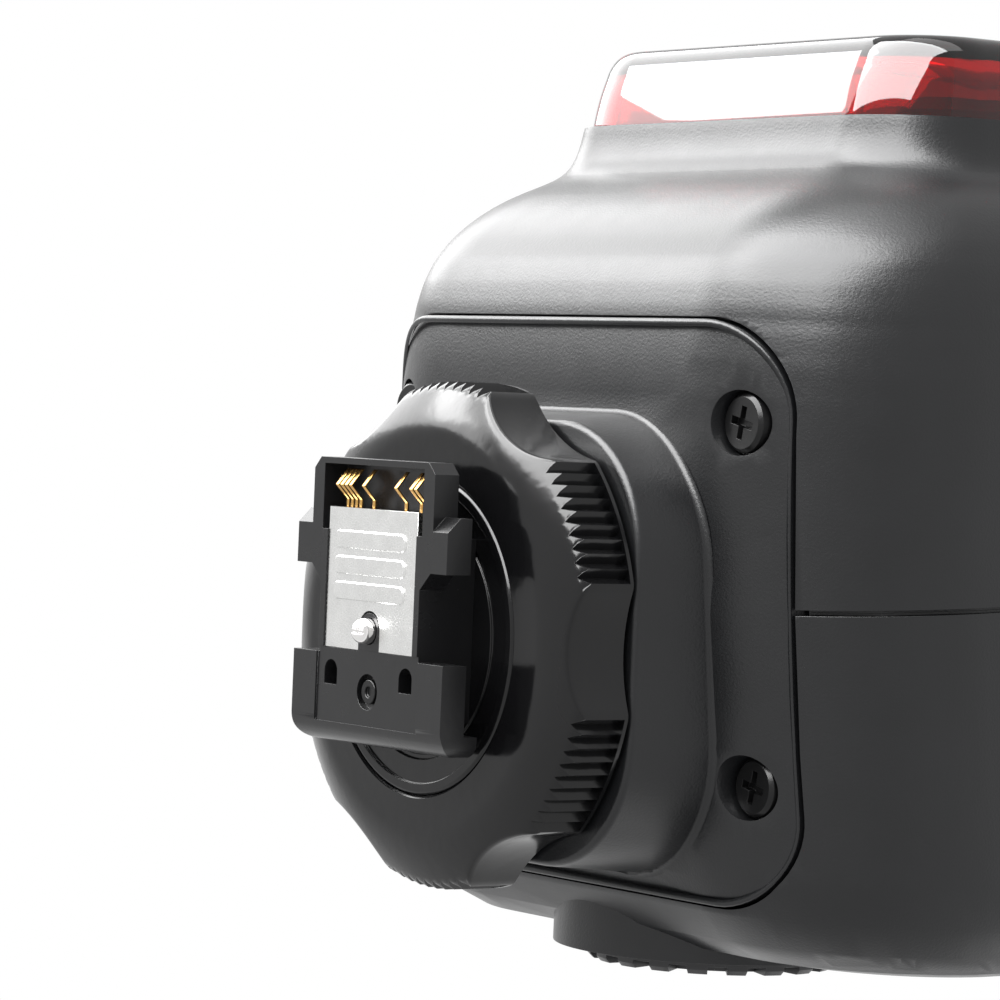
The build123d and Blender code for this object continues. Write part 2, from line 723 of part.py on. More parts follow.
def foot_slots():
    """Two round-topped windows in the rear block."""
    radius = SLOT_WIDTH / 2
    cuts = []
    for x in (-SLOT_X, SLOT_X):
        low = SLOT_Y - SLOT_LENGTH / 2
        high = SLOT_Y + SLOT_LENGTH / 2
        cuts.append(block(x - radius, x + radius, low + radius, high, -1, SLOT_DEPTH))
        cuts.append(drum_z(radius, x, low + radius, -1, SLOT_DEPTH))
    return cuts


def contact_plate():
    """Silver strip under the foot, with raised pads and a notch round the lock pin."""
    half = PLATE_STRIP_WIDTH / 2
    top = PAD_RISE + PLATE_STRIP_THICK
    plate = block(-half, half, PLATE_STRIP_FRONT, PLATE_STRIP_REAR - SEAT, PAD_RISE, top)
    notch = PIN_NOTCH_WIDTH / 2
    plate -= block(-notch, notch, PIN_NOTCH_FRONT + notch, PLATE_STRIP_REAR + 1, -1, 2)
    plate -= drum_z(notch, 0, PIN_NOTCH_FRONT + notch, -1, 2)
    for n in range(PAD_COUNT):
        y = PAD_FIRST_Y + n * PAD_PITCH
        pad = Pos(PAD_X, y) * RectangleRounded(PAD_WIDTH, PAD_HEIGHT, PAD_HEIGHT * 0.42)
        plate += extrude(at_z(PAD_RISE) * pad, -PAD_RISE, taper=25)
    return plate


def contact_springs():
    """Bent strips that touch the camera's pads, each a V with a straight tail."""
    rear = PLATE_STRIP_FRONT + 1.4
    line = [(rear, 0.75), (-9.3, 0.75), (-10.3, -0.2), (-11.45, 0.75)]
    back = [(y, z + SPRING_THICK) for y, z in reversed(line)]
    strips = []
    for x in SPRING_XS:
        strips.append(along_x(face_of(line + back), x - SPRING_WIDTH / 2, x + SPRING_WIDTH / 2))
    return Part() + strips


def foot_screw():
    """Small domed screw in the rear block's dish."""
    head = drum_z(FOOT_SCREW_RADIUS, 0, FOOT_SCREW_Y, FOOT_DISH_DEPTH - 0.45, FOOT_DISH_DEPTH)
    head -= drum_z(FOOT_SCREW_RADIUS * 0.45, 0, FOOT_SCREW_Y, 0, FOOT_DISH_DEPTH - 0.25)
    return head + drum_z(FOOT_SCREW_RADIUS * 0.6 - SEAT, 0, FOOT_SCREW_Y, FOOT_DISH_DEPTH, 4)


def foot_flange():
    """Disc behind the foot, with its rim and groove, on the hub that the ring turns on."""
    low = FLANGE_Z + FLANGE_RIM_RISE
    disc = drum_z(RING_BORE - RUN, 0, 0, FLANGE_Z, FLANGE_Z + FLANGE_DISC_THICK)
    disc = chamfer(disc.edges().group_by(Axis.Z)[0], 0.2)
    disc -= drum_z(FLANGE_RIM_RADIUS, 0, 0, FLANGE_Z - 1, low)
    groove = drum_z(FLANGE_GROOVE_RADIUS, 0, 0, low - 1, low + 0.25)
    disc -= groove - drum_z(FLANGE_GROOVE_RADIUS - FLANGE_GROOVE_WIDTH, 0, 0, low - 1, low + 0.25)
    hub = drum_z(RING_LIP_BORE - RUN, 0, 0, FLANGE_Z + FLANGE_DISC_THICK / 2, PEDESTAL_Z)
    hub -= drum_z(FLANGE_SPIGOT_RADIUS + SEAT, 0, 0, low - 1, PEDESTAL_Z + 1)
    return disc + hub - yoke_room() - drum_z(FLANGE_SPIGOT_RADIUS + SEAT, 0, 0, 0, PEDESTAL_Z + 1)


def lock_pin():
    """Slotted, domed pin on its stem, with the yoke that rides in the ring's groove."""
    tip = drum_z(PIN_RADIUS, 0, PIN_Y, -PIN_REACH, YOKE_Z)
    tip = fillet(tip.edges().group_by(Axis.Z)[0], PIN_RADIUS * 0.75)
    slot_low, slot_high = -PIN_REACH - 1, -PIN_REACH + PIN_SLOT_DEPTH
    slot_front, slot_rear = PIN_Y - PIN_SLOT / 2, PIN_Y + PIN_SLOT / 2
    tip -= block(-PIN_RADIUS, PIN_RADIUS, slot_front, slot_rear, slot_low, slot_high)
    reach = CAM_GROOVE_RADIUS - FREE
    arm = along_z(Rectangle(YOKE_WIDTH, 2 * reach) & Circle(reach), YOKE_Z, YOKE_Z + YOKE_THICK)
    return tip + arm


# Lock ring

def ring_outline(toothed):
    """Outline of the lock ring: lobes between scallops, the lobes cut into teeth."""
    shape = Circle(RING_RADIUS)
    step = 360 / RING_LOBES
    teeth = []
    scallops = []
    half = radians(TOOTH_PITCH_DEG) * RING_RADIUS / 2
    for lobe in range(RING_LOBES):
        middle = -90 + lobe * step
        scallop = Pos(SCALLOP_FLOOR + SCALLOP_RADIUS, 0) * Circle(SCALLOP_RADIUS)
        scallops.append(Rot(0, 0, middle + step / 2) * scallop)
        for n in range(TEETH_PER_LOBE):
            turn = middle + (n - (TEETH_PER_LOBE - 1) / 2) * TOOTH_PITCH_DEG
            deep = RING_RADIUS - TOOTH_DEPTH
            over = RING_RADIUS + TOOTH_DEPTH
            teeth.append(Rot(0, 0, turn) * face_of([(deep, 0), (over, 2 * half), (over, -2 * half)]))
    shape -= scallops
    return shape - teeth if toothed else shape


def lock_ring():
    """Turning ring with a domed front face, knurled lobes and a cam groove inside."""
    edge = RING_RADIUS - RING_EDGE_BREAK
    rim = RING_RADIUS + 1
    face = [(RING_BORE + 0.2, RING_FACE_Z), (RING_FACE_RADIUS, RING_FACE_Z + 0.1)]
    for share, rise in RING_DOME:
        radius = RING_FACE_RADIUS + (edge - RING_FACE_RADIUS) * share
        face.append((radius, RING_FACE_Z + rise * RING_EDGE_RISE))
    rest = [
        (rim, face[-1][1] + RING_EDGE_BREAK + 1), (rim, RING_REAR_Z), (RING_LIP_BORE, RING_REAR_Z),
        (RING_LIP_BORE, RING_LIP_Z), (RING_BORE, RING_LIP_Z), (RING_BORE, RING_FACE_Z + 0.15),
    ]
    turned = revolve(Plane.XZ * face_of(face + rest), Axis.Z)
    toothed_top = RING_REAR_Z - TOOTH_RIM
    outline = along_z(ring_outline(True), RING_FACE_Z - 1, toothed_top)
    outline += along_z(ring_outline(False), toothed_top, RING_REAR_Z)
    groove = drum_z(CAM_GROOVE_RADIUS, 0, 0, CAM_GROOVE_LOW, CAM_GROOVE_HIGH)
    return (turned & outline) - groove


def base_screws():
    """The four cross-head screws of the base plate."""
    screws = []
    for x, y, z in screw_places():
        head = drum_z(SCREW_HEAD_RADIUS, 0, 0, 0, SCREW_HEAD_THICK)
        head = chamfer(head.edges().group_by(Axis.Z)[0], SCREW_EDGE)
        head -= Rot(0, 0, SCREW_TURN_DEG) * cross_recess(CROSS_LENGTH / 2, CROSS_DEPTH, CROSS_WIDTH)
        screw = head + drum_z(SCREW_SHANK_RADIUS, 0, 0, SCREW_HEAD_THICK, SCREW_LENGTH)
        screws.append(Pos(x, y, z) * screw)
    return Part() + screws


# Front of the body

def window_form(inset, y0, y1):
    """Block of the red window's outline between two depths."""
    edge = WINDOW_INSET + inset
    sketch = window_rect(RIM_HALF_WIDTH - edge, RIM_LOW + edge, RIM_HIGH - edge, RIM_CORNER - inset)
    return along_y(sketch, y0, y1)


def red_window():
    """Hollow red cover with rounded edges, open at the back, with a locating lip."""
    front = RIM_Y - WINDOW_DEPTH
    cover = window_form(0, front, RIM_Y)
    cover = fillet(cover.faces().sort_by(Axis.Y)[0].edges(), WINDOW_ROUND)
    lip = window_form(WINDOW_WALL, RIM_Y, RIM_Y + BODY_WALL)
    room = window_form(2 * WINDOW_WALL, front + WINDOW_WALL, RIM_Y + BODY_WALL + 1)
    return cover + lip - room


def window_lamps():
    """Carrier plate behind the window with two beam lamps and a round infrared eye."""
    back = RIM_Y + BODY_WALL
    plate = window_form(2 * WINDOW_WALL + FREE, back - 1.5, back - 0.3)
    for x in (-LAMP_X, LAMP_X):
        lamp = drum_y(LAMP_RADIUS, x, LAMP_Z, back - LAMP_STAND, back - 1.0)
        plate += chamfer(lamp.edges().group_by(Axis.Y)[0], LAMP_BEVEL)
    eye = drum_y(EYE_RADIUS, 0, EYE_Z, back - LAMP_STAND, back - 1.0)
    return plate + chamfer(eye.edges().group_by(Axis.Y)[0], EYE_BEVEL)


def front_shell(shell):
    """Front half of the body with the window opening, battery bay and socket pocket."""
    front = shell & seam_half(True)
    front -= window_form(WINDOW_WALL - SEAT, RIM_Y - 1, RIM_Y + BODY_WALL + 0.1)
    front -= pack_prism(FREE, PACK_OUT, 0)
    front -= cover_pocket()
    start, end = BODY_HALF_WIDTH - 2 * SYNC_DEPTH, BODY_HALF_WIDTH + 8
    front -= drum_x(SYNC_RADIUS + SEAT, SYNC_Y, SYNC_Z, start, end)
    usb_y = USB_HEIGHT / 2 + USB_SHELL + SEAT
    usb_z = USB_WIDTH / 2 + USB_SHELL + SEAT
    front -= block(start, end, SYNC_Y - usb_y, SYNC_Y + usb_y, USB_Z - usb_z, USB_Z + usb_z)
    return front - swivel_hole() - latch_slot()


def swivel_hole():
    """Hole in the body's top for the swivel's spigot."""
    return drum_z(SWIVEL_SPIGOT + RUN, 0, SWIVEL_Y, BODY_TOP - 10, BODY_TOP + 10)


def rear_shell(shell):
    """Rear half of the body with the control panel, screen opening and dial boss."""
    rear = shell & seam_half(False)
    rear += drum_y(DIAL_BOSS_RADIUS, 0, DIAL_Z, BODY_REAR - DIAL_BOSS_DEPTH, DIAL_BOSS_Y)
    rear -= drum_y(DIAL_RADIUS + FREE, 0, DIAL_Z, DIAL_WELL_Y, DIAL_BOSS_Y + 5)
    rear -= drum_y(DIAL_SLEEVE, 0, DIAL_Z, BODY_REAR - 10, DIAL_BOSS_Y + 5)
    panel = window_rect(PANEL_HALF_WIDTH, PANEL_LOW, PANEL_HIGH, PANEL_CORNER)
    rear -= along_y(panel, PANEL_Y, BODY_REAR + 5)
    glass = window_rect(LCD_HALF_WIDTH + SEAT, LCD_LOW - SEAT, LCD_HIGH + SEAT, LCD_CORNER)
    rear -= along_y(glass, PANEL_Y - LCD_GLASS, BODY_REAR + 5)
    lip = LCD_SEAT_LIP
    view = window_rect(LCD_HALF_WIDTH - lip, LCD_LOW + lip, LCD_HIGH - lip, 1.0)
    rear -= along_y(view, 0, BODY_REAR + 5)
    for x in KEY_XS:
        rear -= key_body(x, FREE, BODY_REAR - 12, BODY_REAR + 5)
    for x in (-ROUND_KEY_X, ROUND_KEY_X):
        rear -= drum_y(ROUND_KEY_RADIUS + FREE, x, ROUND_KEY_Z, BODY_REAR - 12, BODY_REAR + 5)
    half = POWER_WIDTH / 2 + POWER_TRAVEL / 2 + FREE
    low = ROUND_KEY_Z - POWER_HEIGHT / 2 - FREE
    high = ROUND_KEY_Z + POWER_HEIGHT / 2 + FREE
    rear -= block(-half, half, BODY_REAR - 12, BODY_REAR + 5, low, high)
    return rear - swivel_hole()


# Rear controls

def key_body(x, grow, y0, y1):
    """Rounded bar of one soft key."""
    shape = RectangleRounded(KEY_WIDTH + 2 * grow, KEY_HEIGHT + 2 * grow, KEY_HEIGHT * 0.3 + grow)
    return along_y(Pos(x, KEY_Z) * shape, y0, y1)


def soft_key(x):
    """One key below the screen, with the flange that keeps it in the shell."""
    top = key_body(x, 0, KEY_SEAT_Y - KEY_FOOT, PANEL_Y + KEY_STAND)
    top = chamfer(top.faces().sort_by(Axis.Y)[-1].edges(), KEY_EDGE)
    return top + key_body(x, KEY_FLANGE, KEY_SEAT_Y - KEY_FOOT, KEY_SEAT_Y - KEY_TRAVEL / 3)


def round_key(x):
    """One round key beside the power switch."""
    foot = KEY_SEAT_Y - KEY_FOOT
    top = drum_y(ROUND_KEY_RADIUS, x, ROUND_KEY_Z, foot, PANEL_Y + KEY_STAND)
    top = chamfer(top.edges().group_by(Axis.Y)[-1], KEY_EDGE)
    flange = ROUND_KEY_RADIUS + KEY_FLANGE
    return top + drum_y(flange, x, ROUND_KEY_Z, foot, KEY_SEAT_Y - KEY_TRAVEL / 3)


def power_switch():
    """Sliding power switch, drawn at its off end, with a ridged thumb face."""
    x = -POWER_TRAVEL / 2
    high = ROUND_KEY_Z + POWER_HEIGHT / 2
    low = ROUND_KEY_Z - POWER_HEIGHT / 2
    half = POWER_WIDTH / 2
    foot = KEY_SEAT_Y - KEY_FOOT
    face = PANEL_Y + KEY_STAND
    knob = block(x - half, x + half, foot, face, low, high)
    groove = POWER_GROOVE / 2
    for n in (-1, 0, 1):
        middle = x + n * POWER_GROOVE_PITCH
        knob -= block(middle - groove, middle + groove, face - 0.3, face + 1, low - 1, high + 1)
    return knob + block(x - half - 2, x + half + 2, foot, KEY_SEAT_Y - FREE, low - 1, high + 1)


def dial_ring():
    """Ribbed control ring round the set button."""
    start = DIAL_FACE_Y - DIAL_THICK
    ring = drum_y(DIAL_RADIUS, 0, DIAL_Z, start, DIAL_FACE_Y)
    ring = chamfer(ring.edges().group_by(Axis.Y)[-1], KEY_EDGE)
    half = DIAL_NOTCH_WIDTH / 2
    notch = block(DIAL_NOTCH_START, DIAL_RADIUS + 1, -DIAL_RIB_DEPTH, 1, -half, half)
    middle = Pos(0, DIAL_FACE_Y, DIAL_Z)
    cuts = []
    for n in range(DIAL_RIBS):
        cuts.append(middle * Rot(0, n * 360 / DIAL_RIBS, 0) * notch)
    return ring - cuts - drum_y(DIAL_BORE, 0, DIAL_Z, start - 1, DIAL_FACE_Y + 1)


def set_button():
    """Dished button in the middle of the dial, on its stem through the shell."""
    face = DIAL_FACE_Y - SET_SINK
    cap = drum_y(SET_RADIUS, 0, DIAL_Z, DIAL_WELL_Y + KEY_TRAVEL + FREE, face)
    cap = chamfer(cap.edges().group_by(Axis.Y)[-1], KEY_EDGE)
    cap -= Pos(0, face + SET_DISH_RADIUS - SET_DISH_DEPTH, DIAL_Z) * Sphere(SET_DISH_RADIUS)
    return cap + drum_y(DIAL_SLEEVE - FREE, 0, DIAL_Z, DIAL_WELL_Y - SET_STEM_LENGTH, face - 1)


def lcd_window():
    """Clear cover of the screen."""
    glass = window_rect(LCD_HALF_WIDTH, LCD_LOW, LCD_HIGH, LCD_CORNER)
    return along_y(glass, PANEL_Y - LCD_GLASS, PANEL_Y)


def lcd_panel():
    """Screen module behind the clear cover."""
    edge = LCD_SEAT_LIP + 0.2
    module = window_rect(LCD_HALF_WIDTH - edge, LCD_LOW + edge, LCD_HIGH - edge, 0.8)
    face = PANEL_Y - LCD_GLASS - 0.1
    return along_y(module, face - LCD_MODULE_THICK, face)


# Battery side

def pack_prism(grow, x0, x1):
    """Rounded bar of the battery pack, along X."""
    width = PACK_REAR - PACK_FRONT + 2 * grow
    height = PACK_HIGH - PACK_LOW + 2 * grow
    shape = Pos(PACK_MID_Y, PACK_MID_Z) * RectangleRounded(width, height, PACK_CORNER + grow)
    return along_x(shape, x0, x1)


def battery_pack(skin):
    """Pack whose outer face follows the body's side, with a finger notch."""
    pack = pack_prism(0, PACK_OUT, PACK_INNER_X) & skin
    centre_x = NOTCH_DEPTH - BODY_HALF_WIDTH - NOTCH_RADIUS
    half = NOTCH_WIDTH / 2
    pack -= drum_y(NOTCH_RADIUS, centre_x, PACK_MID_Z, PACK_MID_Y - half, PACK_MID_Y + half)
    half = TERMINAL_WIDTH / 2 + TERMINAL_CLEAR
    for z in terminal_heights():
        low, high = z - TERMINAL_CLEAR / 2, z + TERMINAL_CLEAR / 2
        start = PACK_INNER_X - TERMINAL_REACH - 1
        pack -= block(start, PACK_INNER_X + 1, PACK_MID_Y - half, PACK_MID_Y + half, low, high)
    return pack


def terminal_heights():
    """Heights of the three battery terminals."""
    return [PACK_MID_Z + n * TERMINAL_PITCH for n in (-1, 0, 1)]


def battery_bay():
    """Thin-walled bay that the pack slides in, closed at its inner end."""
    start = -BODY_HALF_WIDTH + BODY_WALL + BAY_SETBACK
    end = PACK_INNER_X + BAY_END
    return pack_prism(FREE + BAY_WALL, start, end + BAY_WALL) - pack_prism(FREE, start - 1, end)


def battery_terminals():
    """Spring blades at the end of the bay that reach into the pack's slots."""
    start, end = PACK_INNER_X - TERMINAL_REACH, PACK_INNER_X + BAY_END
    half = TERMINAL_WIDTH / 2
    thick = TERMINAL_THICK / 2
    blades = []
    for z in terminal_heights():
        blades.append(block(start, end, PACK_MID_Y - half, PACK_MID_Y + half, z - thick, z + thick))
    return Part() + blades


def latch_slot():
    """Guide slot of the battery latch, below the bay."""
    high = PACK_LOW - LATCH_DROP
    low = high - LATCH_LENGTH - LATCH_TRAVEL
    half = LATCH_WIDTH / 2 + FREE
    x = -BODY_HALF_WIDTH
    return block(x - 2, x + 6, PACK_MID_Y - half, PACK_MID_Y + half, low - FREE, high + FREE)


def battery_latch():
    """Ridged slide that locks the pack, drawn in its locked place."""
    high = PACK_LOW - LATCH_DROP
    low = high - LATCH_LENGTH
    half = LATCH_WIDTH / 2
    x = -BODY_HALF_WIDTH
    inner = x + BODY_WALL + FREE + LATCH_PLATE_THICK
    knob = block(x - 0.1, inner, PACK_MID_Y - half, PACK_MID_Y + half, low, high)
    for n in range(LATCH_RIDGES):
        z = low + (n + 0.85) * LATCH_LENGTH / (LATCH_RIDGES + 0.7)
        knob -= block(x - 1, x + 0.35, PACK_MID_Y - half - 1, PACK_MID_Y + half + 1, z, z + 0.8)
    half += LATCH_PLATE_GROW
    start = inner - LATCH_PLATE_THICK
    return knob + block(start, inner, PACK_MID_Y - half, PACK_MID_Y + half, low - 0.8, high + 0.8)


# Socket side

def cover_prism(grow, x0, x1):
    """Rounded slab of the socket cover, along X."""
    width = COVER_REAR - COVER_FRONT + 2 * grow
    height = COVER_HIGH - COVER_LOW + 2 * grow
    place = Pos((COVER_FRONT + COVER_REAR) / 2, (COVER_LOW + COVER_HIGH) / 2)
    return along_x(place * RectangleRounded(width, height, COVER_CORNER + grow), x0, x1)


def cover_pocket():
    """Shallow pocket for the cover and its hinge barrel."""
    outer = BODY_HALF_WIDTH
    pocket = cover_prism(FREE, outer - COVER_THICK - FREE, outer + 3)
    hinge_x = outer - COVER_HINGE_RADIUS
    low, high = COVER_LOW - FREE, COVER_HIGH + FREE
    return pocket + drum_z(COVER_HINGE_RADIUS + FREE, hinge_x, COVER_REAR, low, high)


def port_cover(skin):
    """Soft cover over the sockets, on a hinge barrel at its rear edge."""
    outer = BODY_HALF_WIDTH
    cover = cover_prism(0, outer - COVER_THICK, outer + 3) & skin
    bend = COVER_REAR - COVER_BEND_WIDTH
    cover -= block(outer - COVER_BEND_DEPTH, outer + 3, bend, COVER_REAR + 1, COVER_LOW, COVER_HIGH)
    hinge_x = outer - COVER_HINGE_RADIUS
    low, high = COVER_LOW + COVER_CORNER, COVER_HIGH - COVER_CORNER
    cover += drum_z(COVER_HINGE_RADIUS, hinge_x, COVER_REAR, low, high)
    middle = (COVER_LOW + COVER_HIGH) / 2
    front = COVER_FRONT + COVER_GRIP_DEPTH
    half = COVER_GRIP_LENGTH / 2
    return cover - block(outer - 0.6, outer + 3, COVER_FRONT - 1, front, middle - half, middle + half)


def sync_socket():
    """Round sync socket in its collar."""
    face = SOCKET_FACE_X
    socket = drum_x(SYNC_RADIUS, SYNC_Y, SYNC_Z, face - SYNC_DEPTH - 1, face)
    return socket - drum_x(SYNC_BORE, SYNC_Y, SYNC_Z, face - SYNC_DEPTH, face + 1)


def usb_socket():
    """Flat data socket: a rounded metal sleeve round a contact tongue."""
    face = SOCKET_FACE_X
    place = Pos(SYNC_Y, USB_Z)
    outer = RectangleRounded(USB_HEIGHT + 2 * USB_SHELL, USB_WIDTH + 2 * USB_SHELL, USB_HEIGHT / 2)
    inner = RectangleRounded(USB_HEIGHT, USB_WIDTH, USB_HEIGHT / 2 - USB_SHELL)
    sleeve = along_x(place * outer, face - USB_DEPTH - 1, face)
    sleeve -= along_x(place * inner, face - USB_DEPTH, face + 1)
    thick, wide = USB_TONGUE_THICK / 2, USB_TONGUE_WIDTH / 2
    start = face - USB_DEPTH - 0.5
    return sleeve + block(start, face - 1, SYNC_Y - thick, SYNC_Y + thick, USB_Z - wide, USB_Z + wide)


# Electronics

def circuit_board():
    """Main board across the body, with its larger components."""
    front = BOARD_Y - BOARD_THICK / 2
    rear = BOARD_Y + BOARD_THICK / 2
    board = block(-BOARD_HALF_WIDTH, BOARD_HALF_WIDTH, front, rear, BOARD_LOW, BOARD_HIGH)
    for x, z, width, height, thick in BOARD_CHIPS:
        half, tall = width / 2, height / 2
        board += block(x - half, x + half, front - thick, front, z - tall, z + tall)
    return board


def main_capacitor():
    """Storage capacitor lying across the body under the battery bay."""
    half = CAPACITOR_LENGTH / 2
    can = drum_x(CAPACITOR_RADIUS, CAPACITOR_Y, CAPACITOR_Z, -half, half)
    return chamfer(can.edges(), 0.8)


# Swivel and neck

def swivel_base():
    """Turning disc on the body's top, with the spigot that goes through it."""
    disc = drum_z(SWIVEL_RADIUS, 0, SWIVEL_Y, SWIVEL_LOW, SWIVEL_HIGH)
    disc = chamfer(disc.edges().group_by(Axis.Z)[-1], 0.8)
    disc += drum_z(SWIVEL_SPIGOT, 0, SWIVEL_Y, BODY_TOP - BODY_WALL - FREE - RETAINER_THICK, SWIVEL_HIGH)
    return disc - drum_z(SWIVEL_WIRE_BORE, 0, SWIVEL_Y, 0, SWIVEL_HIGH + 1)


def swivel_retainer():
    """Ring under the body's top that holds the swivel down."""
    high = BODY_TOP - BODY_WALL - FREE
    ring = drum_z(RETAINER_RADIUS, 0, SWIVEL_Y, high - RETAINER_THICK, high)
    return ring - drum_z(SWIVEL_SPIGOT + SEAT, 0, SWIVEL_Y, 0, high + 1)


def neck():
    """Block that rises from the swivel into the round barrel of the tilt joint."""
    half = NECK_HALF_WIDTH
    front, rear = SWIVEL_Y - NECK_HALF_DEPTH, SWIVEL_Y + NECK_HALF_DEPTH
    shape = block(-half, half, front, rear, SWIVEL_HIGH, TILT_Z)
    shape = fillet(shape.edges().filter_by(Axis.Z), 3.0)
    shape += drum_x(BARREL_RADIUS, SWIVEL_Y, TILT_Z, -half, half)
    shape -= drum_x(AXLE_RADIUS + SEAT, SWIVEL_Y, TILT_Z, -half - 1, half + 1)
    return shape - drum_z(SWIVEL_WIRE_BORE, 0, SWIVEL_Y, SWIVEL_HIGH - 1, TILT_Z - AXLE_RADIUS - 2)


def tilt_axle():
    """Shaft through the neck that the head's cheeks turn on."""
    axle = drum_x(AXLE_RADIUS, SWIVEL_Y, TILT_Z, -AXLE_HALF_LENGTH, AXLE_HALF_LENGTH)
    return chamfer(axle.edges(), 0.5)


# Head

def head_side(inset):
    """Side outline of the head in Y and Z, round about the tilt axis at its rear."""
    low = HEAD_LOW + inset
    top = HEAD_TOP - inset
    rear = HEAD_REAR - inset
    front = HEAD_FRONT
    reach = HEAD_UNDER - inset
    corner = HEAD_REAR_ROUND - inset
    mid = reach * sin(radians(45))
    bend = corner * (1 - sin(radians(45)))
    lines = [
        Line((front, low), (SWIVEL_Y, low)),
        ThreePointArc((SWIVEL_Y, low), (SWIVEL_Y + mid, TILT_Z - mid), (rear, TILT_Z)),
        Line((rear, TILT_Z), (rear, top - corner)),
        ThreePointArc((rear, top - corner), (rear - bend, top - bend), (rear - corner, top)),
        Line((rear - corner, top), (front, top)),
        Line((front, top), (front, low)),
    ]
    return make_face(Curve() + lines)


def head_form(inset):
    """The head's form, drawn in by inset, with its long edges rounded."""
    wide = HEAD_HALF_WIDTH - inset
    slim = HEAD_REAR_HALF_WIDTH - inset
    solid = along_x(head_side(inset), -wide, wide)
    right = [
        (wide, HEAD_FRONT), (wide, HEAD_TAPER_FRONT), (slim, HEAD_TAPER_REAR), (slim, HEAD_REAR + 1),
    ]
    plan = face_of(right + [(-x, y) for x, y in reversed(right)])
    solid = solid & along_z(plan, HEAD_LOW - 1, HEAD_TOP + 1)
    corners = [
        e for e in solid.edges()
        if abs(e.center().X) > slim - 1 and e.center().Y > HEAD_FRONT + 1
        and not (abs(e.tangent_at(0.5).Z) > 0.99 and e.center().Y < HEAD_REAR - inset - 1)
    ]
    if inset > SEAM_GROOVE_DEPTH:
        return chamfer(corners, HEAD_EDGE_ROUND - inset)
    return fillet(corners, HEAD_EDGE_ROUND - inset)


def neck_slot(grow):
    """Space in the head's underside and rear that the neck needs at every tilt."""
    half = NECK_HALF_WIDTH + SLOT_CLEAR + grow
    clear = SLOT_CLEAR + grow
    reach = HEAD_UNDER + 10
    front = NECK_HALF_DEPTH + 2.4 + clear
    slot = drum_x(BARREL_RADIUS + clear, SWIVEL_Y, TILT_Z, -half, half)
    slot += block(-half, half, SWIVEL_Y - front, SWIVEL_Y + reach, TILT_Z - reach, TILT_Z)
    high = TILT_Z + NECK_HALF_DEPTH + clear
    return slot + block(-half, half, SWIVEL_Y, SWIVEL_Y + reach, TILT_Z - 1, high)


def head_shells():
    """Lower and upper head shells, cut from one hollow form."""
    form = head_form(0)
    room = head_form(HEAD_WALL)
    half = HEAD_HALF_WIDTH - HEAD_WALL
    low, high = HEAD_LOW + HEAD_WALL, HEAD_TOP - HEAD_WALL
    room += block(-half, half, HEAD_FRONT - 1, HEAD_FRONT + 1, low, high)
    room -= neck_slot(HEAD_WALL)
    shell = form - room - neck_slot(0)
    side = HEAD_REAR_HALF_WIDTH
    inner = NECK_HALF_WIDTH + SLOT_CLEAR
    for sign in (-1, 1):
        x0, x1 = sorted((sign * inner, sign * (inner + HEAD_WALL + CHEEK_BOSS_DEPTH)))
        shell += drum_x(CHEEK_BOSS_RADIUS, SWIVEL_Y, TILT_Z, x0, x1)
    shell -= drum_x(AXLE_RADIUS + RUN, SWIVEL_Y, TILT_Z, -inner - 8, inner + 8)
    shell -= drum_x(CAP_RADIUS + SEAT, SWIVEL_Y, TILT_Z, side - CAP_SINK, side + 2)
    shell -= drum_x(RELEASE_RADIUS + FREE, SWIVEL_Y, TILT_Z, -side - 2, -side + HEAD_WALL + 1)
    half = HEAD_POST_HALF
    front, rear = HEAD_SCREW_Y - half, HEAD_SCREW_Y + half
    seat = HEAD_LOW + HEAD_SCREW_SINK + HEAD_SCREW_HEAD
    end = HEAD_LOW + HEAD_SCREW_SINK + HEAD_SCREW_LENGTH + 2
    for x in (-HEAD_SCREW_X, HEAD_SCREW_X):
        shell += block(x - half, x + half, front, rear, HEAD_LOW + 0.5, HEAD_SEAM_Z - 1)
        shell -= drum_z(HEAD_SCREW_RADIUS + 0.15, x, HEAD_SCREW_Y, HEAD_LOW - 1, seat)
        shell -= drum_z(HEAD_SCREW_SHANK + SEAT, x, HEAD_SCREW_Y, HEAD_LOW, end)
    below = Pos(0, 0, HEAD_SEAM_Z - WIDE) * Box(2 * WIDE, 2 * WIDE, 2 * WIDE)
    lower = shell & below
    upper = shell - below
    half = SEAM_GROOVE_WIDTH / 2
    slab = block(-WIDE, WIDE, HEAD_FRONT, WIDE, HEAD_SEAM_Z - half, HEAD_SEAM_Z + half)
    groove = (form & slab) - head_form(SEAM_GROOVE_WIDTH)
    return lower - groove, upper - groove


def head_screws():
    """Two screws in the head's underside."""
    screws = []
    low = HEAD_LOW + HEAD_SCREW_SINK
    seat = low + HEAD_SCREW_HEAD
    for x in (-HEAD_SCREW_X, HEAD_SCREW_X):
        head = drum_z(HEAD_SCREW_RADIUS, x, HEAD_SCREW_Y, low, seat)
        head -= Pos(x, HEAD_SCREW_Y, low) * cross_recess(CROSS_LENGTH / 2, 0.5, CROSS_WIDTH)
        shank = drum_z(HEAD_SCREW_SHANK, x, HEAD_SCREW_Y, seat, low + HEAD_SCREW_LENGTH)
        screws.append(head + shank)
    return Part() + screws


def pivot_cap():
    """Round cover over the tilt joint on the +X cheek."""
    side = HEAD_REAR_HALF_WIDTH
    cap = drum_x(CAP_RADIUS, SWIVEL_Y, TILT_Z, side - CAP_SINK, side + CAP_STAND)
    return chamfer(cap.edges().group_by(Axis.X)[-1], CAP_EDGE)


